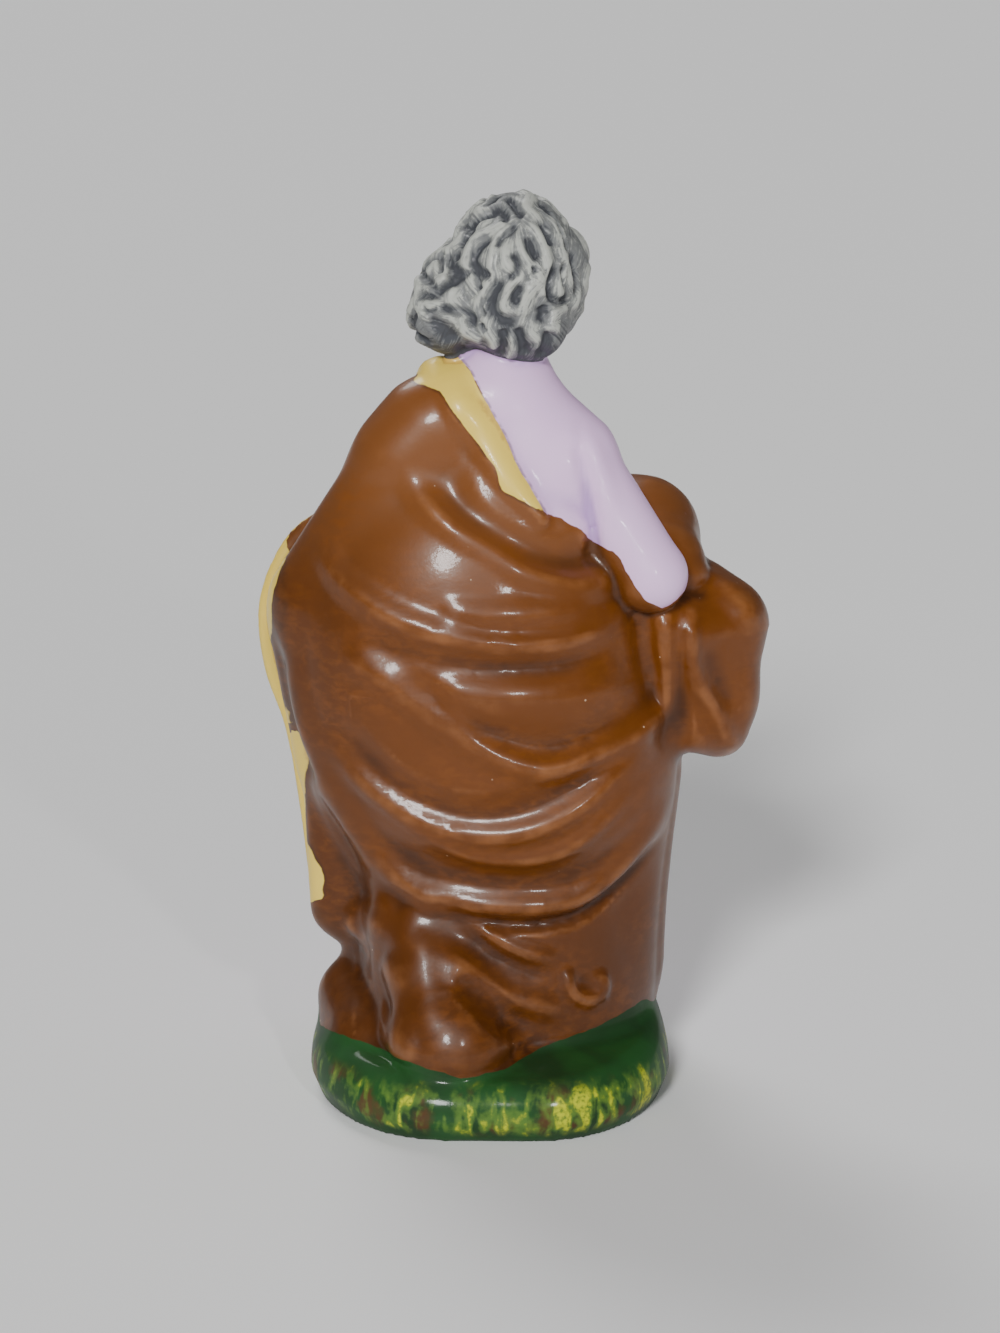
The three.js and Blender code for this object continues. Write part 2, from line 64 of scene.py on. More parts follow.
def ball(centre, rx, ry=None, rz=None):  # a ball, or an egg of three half widths
    centre = np.array(centre, float)
    radii = np.array([rx, ry or rx, rz or rx], float)

    def form(p):
        q = (p - centre) / radii
        scaled = np.sqrt((q * q).sum(1))
        slope = np.sqrt(((q / radii) ** 2).sum(1))
        return scaled * (scaled - 1) / np.maximum(slope, 1e-9)
    return form


def limb(start, end, startRadius, endRadius=None):  # a round bar with round ends
    endRadius = startRadius if endRadius is None else endRadius
    start = np.array(start, float)
    along = np.array(end, float) - start

    def form(p):
        q = p - start
        t = np.clip(q @ along / (along @ along), 0, 1)
        gap = q - t[:, None] * along
        return np.sqrt((gap * gap).sum(1)) - startRadius - t * (endRadius - startRadius)
    return form


def band(route, halfWidths, thickness, facing):  # a band of cloth, pressed flat the way it faces
    route = np.array(route, float)
    widths = np.interp(np.linspace(0, 1, len(route)), np.linspace(0, 1, len(halfWidths)), halfWidths)
    normals = facing(route)

    def form(p):
        nearest = np.full(len(p), 1e3)
        for a, b, w, nextW, n in zip(route[:-1], route[1:], widths[:-1], widths[1:], normals[:-1]):
            along = b - a
            n = n - along * (n @ along) / (along @ along)
            n = n / np.linalg.norm(n)
            t = np.clip((p - a) @ along / (along @ along), 0, 1)
            gap = p - a - t[:, None] * along
            proud = gap @ n
            wide = ((gap - proud[:, None] * n) ** 2).sum(1)
            half = w + t * (nextW - w)
            scaled = np.sqrt(wide / half ** 2 + (proud / thickness) ** 2)
            slope = np.sqrt(wide / half ** 4 + proud ** 2 / thickness ** 4)
            nearest = np.minimum(nearest, scaled * (scaled - 1) / np.maximum(slope, 1e-6))
        return nearest
    return form


def cord(route, radius):  # a round cord along a route
    pieces = [limb(a, b, radius) for a, b in zip(route[:-1], route[1:])]
    return lambda p: np.minimum.reduce([piece(p) for piece in pieces])


def column(bottom, top, bottomRadii, topRadii):  # an upright oval that narrows, with flat ends
    bottom, top = np.array(bottom, float), np.array(top, float)

    def form(p):
        t = np.clip((p[:, 2] - bottom[2]) / (top[2] - bottom[2]), 0, 1)
        rx = bottomRadii[0] + t * (topRadii[0] - bottomRadii[0])
        ry = bottomRadii[1] + t * (topRadii[1] - bottomRadii[1])
        x = (p[:, 0] - bottom[0] - t * (top[0] - bottom[0])) / rx
        y = (p[:, 1] - bottom[1] - t * (top[1] - bottom[1])) / ry
        side = (np.hypot(x, y) - 1) * np.minimum(rx, ry)
        return np.maximum(side, np.maximum(bottom[2] - p[:, 2], p[:, 2] - top[2]))
    return form


def softMin(a, b, size):  # the lesser of two, rounded off where they are close
    mix = np.maximum(size - np.abs(a - b), 0) / size
    return np.minimum(a, b) - mix * mix * size / 4


def blend(size, *forms):  # joins forms with a fillet, as clay is smoothed
    def form(p):
        whole = forms[0](p)
        for other in forms[1:]:
            whole = softMin(whole, other(p), size)
        return whole
    return form


def hollowed(size, base, *hollows):  # takes forms out of another, with rounded rims
    def form(p):
        whole = base(p)
        for hollow in hollows:
            whole = -softMin(-whole, hollow(p), size)
        return whole
    return form


def near(lowest, highest, form):  # works a form out only inside a box, to save time
    lowest, highest = np.array(lowest, float), np.array(highest, float)

    def boxed(p):
        inside = ((p > lowest) & (p < highest)).all(1)
        gap = np.maximum(lowest - p, p - highest).max(1)
        result = np.maximum(gap, 0) + 3.0
        result[inside] = form(p[inside])
        return result
    return boxed


def turned(form, centre, turn):  # a form modelled about its own centre, then turned and placed
    rotation = np.array(turn.to_matrix())
    centre = np.array(centre, float)
    return lambda p: form((p - centre) @ rotation)


def slopeOf(form, p, step=0.06):  # a form's distance at each point, and which way it grows
    here = form(p)
    slope = np.stack([form(p + np.eye(3)[i] * step) - here for i in range(3)], 1) / step
    return here, slope


def outward(form, p):  # the direction straight out of a form
    slope = slopeOf(form, p)[1]
    return slope / np.maximum(np.linalg.norm(slope, axis=1, keepdims=True), 1e-9)


def catmull(points, steps=6):  # a smooth route through points of 2 or 3 coordinates
    points = np.array(points, float)
    points = np.vstack([2 * points[0] - points[1], points, 2 * points[-1] - points[-2]])
    route = []
    for a, b, c, d in zip(points[:-3], points[1:-2], points[2:-1], points[3:]):
        for t in np.arange(steps) / steps:
            route.append(0.5 * (2 * b + (c - a) * t + (2 * a - 5 * b + 4 * c - d) * t * t
                                + (3 * b - a - 3 * c + d) * t ** 3))
    return np.array(route + [points[-2]])


def smoothstep(x, low, high):
    t = np.clip((x - low) / (high - low), 0, 1)
    return t * t * (3 - 2 * t)


# the pose: places in millimetres, turns of the head in degrees and of the hands in radians

at = {
    "neck": (-1.5, -3, 160), "head": (-2.5, -7, 181.5), "headTurn": (12, 0, 20),
    "leftShoulder": (21.6, 1, 142.6), "rightShoulder": (-15.5, 2, 143.5),
    "leftElbow": (39.5, 0, 111), "rightElbow": (-32.5, 9, 119),
    "leftHip": (14, 1, 72), "rightHip": (-13, 0, 72),
    "leftKnee": (16, -26, 25), "rightKnee": (-17, -38, 69),
    "heel": (10.3, 24, 20.5), "foot": (-20, -45.2, 15.4), "shoulderTop": (15.6, 0, 149.6),
    "leftWrist": (6, -32, 125), "rightWrist": (-5, -32, 125),
    "foldedArm": (-31, -20, 121), "hands": (0.5, -38, 133), "handScale": 1.25,
    "handTilt": (-0.3, 0, -0.1), "hemTop": 10,
}
headTurn = Euler([math.radians(a) for a in at["headTurn"]], "XYZ")
handTilt = Euler(at["handTilt"], "ZYX")

mound = {"halfWidth": 40, "halfDepth": 47, "height": 13, "rim": 4, "centre": (2, -4), "squareness": 2.5,
         "shoulder": 0.14, "flare": 0.05, "dome": 2.6, "domeRun": 0.26, "lift": 4.5,
         "waves": ((3, 0.012, 0.6), (7, 0.008, 0))}  # how many, how high, and the angle that they start from


def moundForm(p):
    u = (p[:, 0] - mound["centre"][0]) / mound["halfWidth"]
    v = (p[:, 1] - mound["centre"][1]) / mound["halfDepth"]
    angle = np.arctan2(v, u)
    power = mound["squareness"]
    wave = (np.abs(np.cos(angle)) ** power + np.abs(np.sin(angle)) ** power) ** (-1 / power)
    for count, height, start in mound["waves"]:
        wave = wave + height * np.sin(count * angle + start)
    share = np.hypot(u, v) / wave
    across = np.hypot(p[:, 0] - mound["centre"][0], p[:, 1] - mound["centre"][1])
    reach = across / np.maximum(share, 1e-6)
    lift = mound["lift"] * (np.minimum(share, 1) * np.cos(angle)) ** 2 / mound["height"]
    z = p[:, 2] / (1 + lift)
    dome = mound["dome"] * np.clip((1 - mound["shoulder"] - share) / mound["domeRun"], 0, 1)
    z = z - dome * np.clip((z - mound["rim"]) / (mound["height"] - mound["rim"]), 0, 1)
    share = share + mound["flare"] * np.clip(1 - z / mound["rim"], 0, 1)
    side = np.maximum(share - 1 + mound["shoulder"], 0) / mound["shoulder"]
    up = np.maximum(z - mound["rim"], 0) / (mound["height"] - mound["rim"])
    scaled = np.hypot(side, up)
    slope = np.hypot(side / (mound["shoulder"] * reach), up / (mound["height"] - mound["rim"]))
    top = scaled * (scaled - 1) / np.maximum(slope, 1e-6)
    return np.maximum(np.where(scaled < 1e-6, -4, top), -p[:, 2])


def bodyForm():
    torso = blend(
        8, ball((1, -3, 122), 26, 21, 38), limb((7, 0, 155.5), at["shoulderTop"], 8.6, 9.2),
        limb(at["shoulderTop"], at["leftShoulder"], 9.2, 9.6),
        limb((-5, 0, 154.3), at["rightShoulder"], 8, 10), limb(at["neck"], (-1, -5, 176), 7.8))
    upperArm = limb(at["leftShoulder"], at["leftElbow"], 9.5, 11.5)
    cloakBack = blend(8, ball((7, 2, 97), 39, 25, 47), ball((-2, 3, 72), 35, 24, 34))
    leftPanel = blend(
        6, limb((38, -5, 104), (34.5, -6, 76), 11.5, 9), limb((34.5, -6, 76), (33.5, -4, 40.5), 9, 8),
        ball((32, -2, 18), 9, 12, 9))
    rightDrape = limb((-26.5, -3, 76), (-23.5, -4, 26), 13, 11)
    skirt = column((0, -5, at["hemTop"]), (0, -3, 118), (35.5, 31), (25, 19))
    legs = blend(
        6, limb(at["leftHip"], at["leftKnee"], 15, 13), limb((17, 14, 40), at["heel"], 8.6, 11),
        ball((10.3, 25, 16.5), 13, 13, 10), ball((24, 10, 15.5), 14, 14, 8.5))
    return blend(5, torso, upperArm, cloakBack, skirt, legs, leftPanel, rightDrape)


def raisedLegForm():
    shin = column((-18, -20, at["hemTop"]), (-17, -25, 70), (15.5, 24), (12, 21))
    return blend(8, limb(at["rightHip"], at["rightKnee"], 15, 12.5), shin,
                 limb((-12, -34, 60), (14, -26, 30), 9, 11))


# folds that hang in front of the right forearm, shorter toward the hand: top, foot, top radius
hangingEnds = [
    ((-37, -22, 114), (-39, -21, 87), 8), ((-30, -27, 114), (-31.5, -27, 92), 7.4),
    ((-22.5, -30.5, 115.5), (-23.5, -31.5, 98.5), 6.6), ((-15.5, -33, 118), (-15.8, -34.5, 106), 5.6)]


def bundleForm():  # the end of the cloak over the right forearm, and its fall outside it
    fall = blend(
        6, limb((-48.6, -6, 104), (-48.9, -5, 88), 11, 7.3),
        limb((-48.9, -5, 88), (-48.8, -4.5, 80.4), 7.3, 6.2), limb((-40, 2, 104), (-42, 0, 83), 8, 6),
        limb((-34, 3, 108), (-34, 0, 84), 6, 6), limb((-43, -14, 109), (-45, -14, 88), 8.5, 6))
    over = blend(
        3, limb((-34, -6, 117), at["foldedArm"], 11.5, 13), limb(at["foldedArm"], (-12, -31, 126), 13, 9))
    hanging = blend(2.5, *[limb(top, end, radius, radius * 0.6) for top, end, radius in hangingEnds])
    return blend(3, fall, over, hanging)


# head: modelled upright and facing -Y about its own centre

hairMass = blend(
    5, ball((1.2, 2, 0), 14.2, 15.6, 14.6), ball((-0.4, 2, 7), 10.4, 12, 11),
    ball((-10.4, 3.4, 2.6), 5.2, 7, 6), ball((15, 0.5, -5.2), 7.6, 8, 10.8),
    ball((16.7, 0, -7.3), 5.6, 6.5, 5.5), ball((-9.6, 1, -6), 4.4, 8, 8), ball((2.5, 8, -9.5), 10, 7, 8.3),
    ball((-2, 8, -12), 5, 6, 5.5))
beardMass = blend(
    3, ball((0, -8, -12), 12.5, 9, 9), limb((0, -10.5, -14), (0, -13, -24), 9.5, 5.5),
    limb((0, -16.2, -7), (6.5, -13.5, -10.5), 2.6, 2), limb((0, -16.2, -7), (-6.5, -13.5, -10.5), 2.6, 2))

face = {"eye": (4.4, -13.3, -0.3), "eyeRadius": 2.3, "socket": (4.6, -17.0, -0.1),
        "upperLid": (0.42, -0.2), "lowerLid": (0.28, -1.35)}  # how proud, and the height of its rim


def faceForm():
    skull = blend(1.5, ball((0, -1, 0.2), 12.6, 13.8, 14.4), ball((0, -6.5, -2.5), 11, 10.5, 13.5))
    nose = blend(
        1.2, limb((0, -15, 2.6), (0, -17.4, -3), 1.5, 1.9), ball((0, -17.6, -3.9), 1.9, 1.9, 1.6),
        ball((1.8, -16.1, -4.4), 1.3, 1.6, 1.2), ball((-1.8, -16.1, -4.4), 1.3, 1.6, 1.2))
    brows = blend(1, *[limb((s * 2.0, -15.0, 3.9), (s * 7.2, -12.7, 3.3), 1.9, 1.5) for s in (1, -1)])
    cheeks = blend(1, *[ball((s * 5.6, -12.2, -3.2), 4.5) for s in (1, -1)])
    lips = limb((-2.1, -15.4, -10.4), (2.1, -15.4, -10.4), 1.1)
    x, y, z = face["socket"]
    sockets = [ball((s * x, y, z), 3, 2.6, 2.2) for s in (1, -1)]
    bare = hollowed(1.8, blend(2.2, skull, brows, cheeks), *sockets)
    x, y, z = face["eye"]
    eyes = [ball((s * x, y, z), face["eyeRadius"]) for s in (1, -1)]

    def lid(s, rim, up):
        proud, height = face[rim]
        over = ball((s * x, y, z), face["eyeRadius"] + proud)
        return lambda p: np.maximum(over(p), up * (z + height - p[:, 2]))
    lids = [lid(s, rim, up) for s in (1, -1) for rim, up in (("upperLid", 1), ("lowerLid", -1))]
    return blend(0.6, blend(0.3, blend(1.6, bare, nose), *eyes, *lids), lips)


bareFace = faceForm()


def handForm():
    def palm(s):
        fingers = [
            limb((s * 1.9, y, 2), (s * 1.4, y * 0.9, 12 - abs(i - 1.6)), 1.6, 1.2)
            for i, y in enumerate((-3, -1, 1, 3))]
        thumb = limb((s * 2.8, 4, -2), (s * 2.2, 5.5, 5), 1.9, 1.5)
        return blend(0.6, ball((s * 2.4, 0, -2), 2.6, 5, 6.5), *fingers, thumb)
    upright = blend(0.5, palm(1), palm(-1), limb((0, 2, -6), (0, 8, -16), 5.5, 6.5))
    return lambda p: upright(p / at["handScale"]) * at["handScale"]


cloakBody = bodyForm()


def onBody(points, side, sunk):  # points of an elevation (x, z) set on the body's front or back
    placed = np.array([(x, side * 90, z) for x, z in points], float)
    for _ in range(200):
        placed[:, 1] -= side * np.maximum(cloakBody(placed) * 0.8, 0)
    return placed - outward(cloakBody, placed) * sunk


edge = {"halfWidth": (3.2, 3.4, 4.2, 4.8, 4.8, 4.4, 4.2, 3.6), "thickness": 2.3, "sunk": 1.2,
        "chest": [(22, 141), (31, 131)],
        "hang": [(43.2, -12, 121.5), (49.4, -11, 108), (48.4, -12, 94), (44.2, -11.5, 80),
                 (41.2, -12.5, 60), (39.6, -11.5, 40.5)]}
collar = {"halfWidth": (1.6, 2.8, 3, 3.1, 3.1, 3.1, 3, 2.8, 1.2), "thickness": 1.7, "sunk": 0.3,
          "front": [(27, 134), (21.5, 142), (17, 150)], "crest": [(15.5, -9, 158.5), (13.6, -1, 163)],
          "back": [(9.4, 157.5), (4, 150), (-2.5, 140.5), (-9, 133)]}
edgeRoute = catmull(np.vstack([onBody(edge["chest"], -1, edge["sunk"]), edge["hang"]]))
collarRoute = catmull(np.vstack([
    onBody(collar["front"], -1, collar["sunk"]), collar["crest"],
    onBody(collar["back"], 1, collar["sunk"])]))


def edgeFacing(p):  # the turned edge faces forward, and a little outward at the side
    facing = np.stack([p[:, 0] - 12, 6 * (p[:, 1] + 3), 0 * p[:, 2]], 1)
    return facing / np.linalg.norm(facing, axis=1, keepdims=True)


# a cord girdle: its routes on the front elevation, and their radii; the two ends hang from the knot
girdle = {"sunk": 0.1, "knot": (3.2, 2.4, 2.8), "routes": [
    ([(-30, 101), (-20, 98), (-8, 96), (6, 95.5), (18, 97), (30, 100)], 1.5),
    ([(7, 95.2), (6, 90), (4.4, 82), (4.6, 72)], 1.2),
    ([(7, 95.2), (9.4, 90), (11, 84), (10.8, 78)], 1.2)]}
girdleRoutes = [(catmull(onBody(route, -1, girdle["sunk"])), radius) for route, radius in girdle["routes"]]
knot = ball(girdleRoutes[1][0][0], *girdle["knot"])

parts = {
    "body": cloakBody,
    "girdle": near((-40, -52, 62), (40, 0, 110), blend(
        0.6, *[cord(route, radius) for route, radius in girdleRoutes], knot)),
    "raisedLeg": near((-45, -62, -5), (32, 30, 95), raisedLegForm()),
    "rightArm": near((-52, -50, 98), (5, 25, 165), blend(
        1, limb(at["rightShoulder"], at["rightElbow"], 9, 8),
        limb(at["rightElbow"], at["rightWrist"], 8, 7))),
    "bundle": near((-66, -50, 65), (5, 20, 145), bundleForm()),
    "leftSleeve": near((-5, -50, 95), (60, 20, 145), limb(at["leftElbow"], at["leftWrist"], 10.5, 8.5)),
    "edge": near((12, -40, 34), (62, 8, 155), band(
        edgeRoute, edge["halfWidth"], edge["thickness"], edgeFacing)),
    "collar": near((-20, -40, 120), (40, 35, 175), band(
        collarRoute, collar["halfWidth"], collar["thickness"], lambda p: outward(cloakBody, p))),
    "hands": near((-18, -60, 96), (19, -14, 160), turned(handForm(), at["hands"], handTilt)),
    "shoe": near((-36, -62, -5), (-4, -20, 35), limb((-19, -34, 17), at["foot"], 7.4, 6)),
    "mound": near((-60, -70, -5), (60, 60, 26), moundForm),
    "hair": near((-35, -45, 140), (35, 30, 210), turned(hairMass, at["head"], headTurn)),
    "beard": near((-35, -45, 140), (35, 30, 210), turned(beardMass, at["head"], headTurn)),
    "face": near((-35, -45, 140), (35, 30, 210), turned(bareFace, at["head"], headTurn)),
}
parts["locks"] = blend(1.5, parts["hair"], parts["beard"])
draped = blend(3.5, blend(5, parts["body"], parts["raisedLeg"]), parts["bundle"])
draped = blend(2, draped, parts["rightArm"], parts["collar"])
smallForms = [parts[name] for name in ("girdle", "leftSleeve", "edge", "hands", "shoe", "face", "locks")]
wholeForm = blend(2.5, blend(0.8, draped, *smallForms), parts["mound"])


# the mesh: a fine copy of the solid, with more faces on the head and hands

fineness = {
    "voxel": 1.14, "headFrom": 157, "handMargin": 1.2,  # finer above headFrom and this near to the hands
    "headBase": 145,  # hair and face lie above this height
    "face": ((-10.5, -99, -12), (10.5, -8.5, 10)),  # the box, in the head's own axes, that is finest
    "evenRounds": 3, "settleRounds": 7, "refinedRounds": 3, "relax": 0.6, "stride": 1.2,
    "farthest": 3.6,  # a point goes no farther than this from where it began
    "untangleRounds": 3, "untangleStride": 0.4, "foldedBelow": 0.85,
}


def fineCopy(node):
    copy = bpy.data.objects.new("glazed_figurine", node.data.copy())
    bpy.context.scene.collection.objects.link(copy)
    bm = bmesh.new()
    bm.from_mesh(copy.data)
    bmesh.ops.remove_doubles(bm, verts=bm.verts, dist=1e-6)
    bm.to_mesh(copy.data)
    bm.free()
    remesh = copy.modifiers.new("remesh", "REMESH")
    remesh.mode = "VOXEL"
    remesh.voxel_size = fineness["voxel"] * mm
    graph = bpy.context.evaluated_depsgraph_get()
    fine = bpy.data.meshes.new_from_object(copy.evaluated_get(graph))
    copy.modifiers.clear()
    copy.data = fine
    return copy


def refine(mesh, chosen):  # cuts every edge between chosen points in half
    bm = bmesh.new()
    bm.from_mesh(mesh)
    places = np.array([v.co for v in bm.verts]) / mm
    picked = chosen(places)
    edges = [e for e in bm.edges if picked[e.verts[0].index] and picked[e.verts[1].index]]
    bmesh.ops.subdivide_edges(bm, edges=edges, cuts=1, use_grid_fill=True)
    bm.to_mesh(mesh)
    bm.free()


def pointsOf(mesh):
    flat = np.empty(len(mesh.vertices) * 3)
    mesh.vertices.foreach_get("co", flat)
    return flat.reshape(-1, 3) / mm


def setPoints(mesh, places):
    mesh.vertices.foreach_set("co", (places * mm).ravel())
    mesh.update()


def neighbourMean(mesh, places):  # the mean place of each point's neighbours
    ends = np.empty(len(mesh.edges) * 2, int)
    mesh.edges.foreach_get("vertices", ends)
    a, b = ends.reshape(-1, 2).T
    total = np.zeros_like(places)
    for i in range(3):
        total[:, i] = (np.bincount(a, places[b, i], len(places))
                       + np.bincount(b, places[a, i], len(places)))
    count = np.bincount(ends, minlength=len(places))
    return total / count[:, None]


def meshNormals(mesh):
    flat = np.empty(len(mesh.vertices) * 3)
    mesh.vertices.foreach_get("normal", flat)
    return flat.reshape(-1, 3)


def drawOn(form, places, farthest):  # moves points toward the form; also the slope there and its square
    here, slope = slopeOf(form, places)
    size = np.maximum((slope * slope).sum(1), 0.05)
    places -= slope * np.clip(here / size, -farthest, farthest)[:, None]
    return slope, size


def settle(mesh, form, rounds, evenRounds=0):  # draws a mesh's points on to the form, evenly spaced
    start = pointsOf(mesh)
    places = start.copy()
    onFloor = start[:, 2] < 0.3
    for _ in range(evenRounds):
        places += 0.5 * (neighbourMean(mesh, places) - places)
    for _ in range(rounds):
        slope, size = drawOn(form, places, fineness["stride"])
        normal = slope / np.sqrt(size)[:, None]
        shift = neighbourMean(mesh, places) - places
        shift -= normal * (shift * normal).sum(1)[:, None]
        places += fineness["relax"] * shift
        moved = places - start
        far = np.maximum(np.linalg.norm(moved, axis=1) / fineness["farthest"], 1)
        places = start + moved / far[:, None]
        places[onFloor, 2] = 0
    for _ in range(fineness["untangleRounds"]):  # smooths points where the mesh has folded over itself
        setPoints(mesh, places)
        slope, size = drawOn(form, places.copy(), 0)
        folded = (meshNormals(mesh) * slope).sum(1) < fineness["foldedBelow"] * np.sqrt(size)
        folded |= neighbourMean(mesh, np.repeat(folded[:, None], 3, 1).astype(float))[:, 0] > 0
        places[folded] = neighbourMean(mesh, places)[folded]
        drawOn(form, places, fineness["untangleStride"])
        places[onFloor, 2] = 0
    setPoints(mesh, places)
    return places


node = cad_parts["kneeling_figurine"]
figurine = fineCopy(node)
print("fine copy", len(figurine.data.vertices), "points")
settle(figurine.data, wholeForm, fineness["settleRounds"], fineness["evenRounds"])
refine(figurine.data, lambda p: (p[:, 2] > fineness["headFrom"])
       | (parts["hands"](p) < fineness["handMargin"]))
headSpot = np.array(at["head"], float)
headAxes = np.array(headTurn.to_matrix())


def toHead(p):
    return (p - headSpot) @ headAxes


def fromHead(q):
    return q @ headAxes.T + headSpot


def isFace(p):
    lowest, highest = np.array(fineness["face"])
    q = toHead(p)
    return ((q > lowest) & (q < highest)).all(1)


refine(figurine.data, isFace)
places = settle(figurine.data, wholeForm, fineness["refinedRounds"])
triangles = sum(len(f.vertices) - 2 for f in figurine.data.polygons)
print("settled", len(places), "points", triangles, "triangles")


# folds, carved along routes drawn on the elevations, in millimetres

def alongRoute(points, route):  # distance from each point to the route, and the share of its length
    nearest = np.full(len(points), 1e3)
    share = np.zeros(len(points))
    for i, (a, b) in enumerate(zip(route[:-1], route[1:])):
        step = b - a
        t = np.clip((points - a) @ step / max(step @ step, 1e-9), 0, 1)
        gap = np.linalg.norm(points - a - t[:, None] * step, axis=1)
        closer = gap < nearest
        nearest[closer] = gap[closer]
        share[closer] = (i + t[closer]) / (len(route) - 1)
    return nearest, share


def profile(distance, share, width, sharp, fade=1.8):  # 1 along the middle, 0 at the rim and both ends
    t = np.clip(distance / width, 0, 1)
    across = (1 - sharp) * (1 - t * t) ** 2 + sharp * (1 - t) ** 2
    return across * np.clip(np.sin(np.pi * share) * fade, 0, 1)


def addFolds(rise, drawn, seen, folds, fade=1.8, mirrors=(1,)):  # adds the folds' heights to the rise
    for height, width, sharp, points in folds.values():
        for mirror in mirrors:
            route = catmull([(mirror * x, z) for x, z in points])
            box = ((drawn > route.min(0) - width) & (drawn < route.max(0) + width)).all(1) & (seen > 0)
            distance, share = alongRoute(drawn[box], route)
            rise[box] += seen[box] * height * profile(distance, share, width, sharp, fade)
    return rise


# each elevation's sideways axis, and the way that a surface faces which shows on it
elevations = {"back": (0, (0, 1, 0)), "front": (0, (0, -1, 0)),
              "left": (1, (1, 0, 0)), "right": (1, (-1, 0, 0))}


def carve(places, normal, folds, side, only):  # height of all folds of one side at each point
    across, facing = elevations[side]
    seen = smoothstep(normal @ np.array(facing, float), 0, 0.45) * only
    return addFolds(np.zeros(len(places)), places[:, [across, 2]], seen, folds)


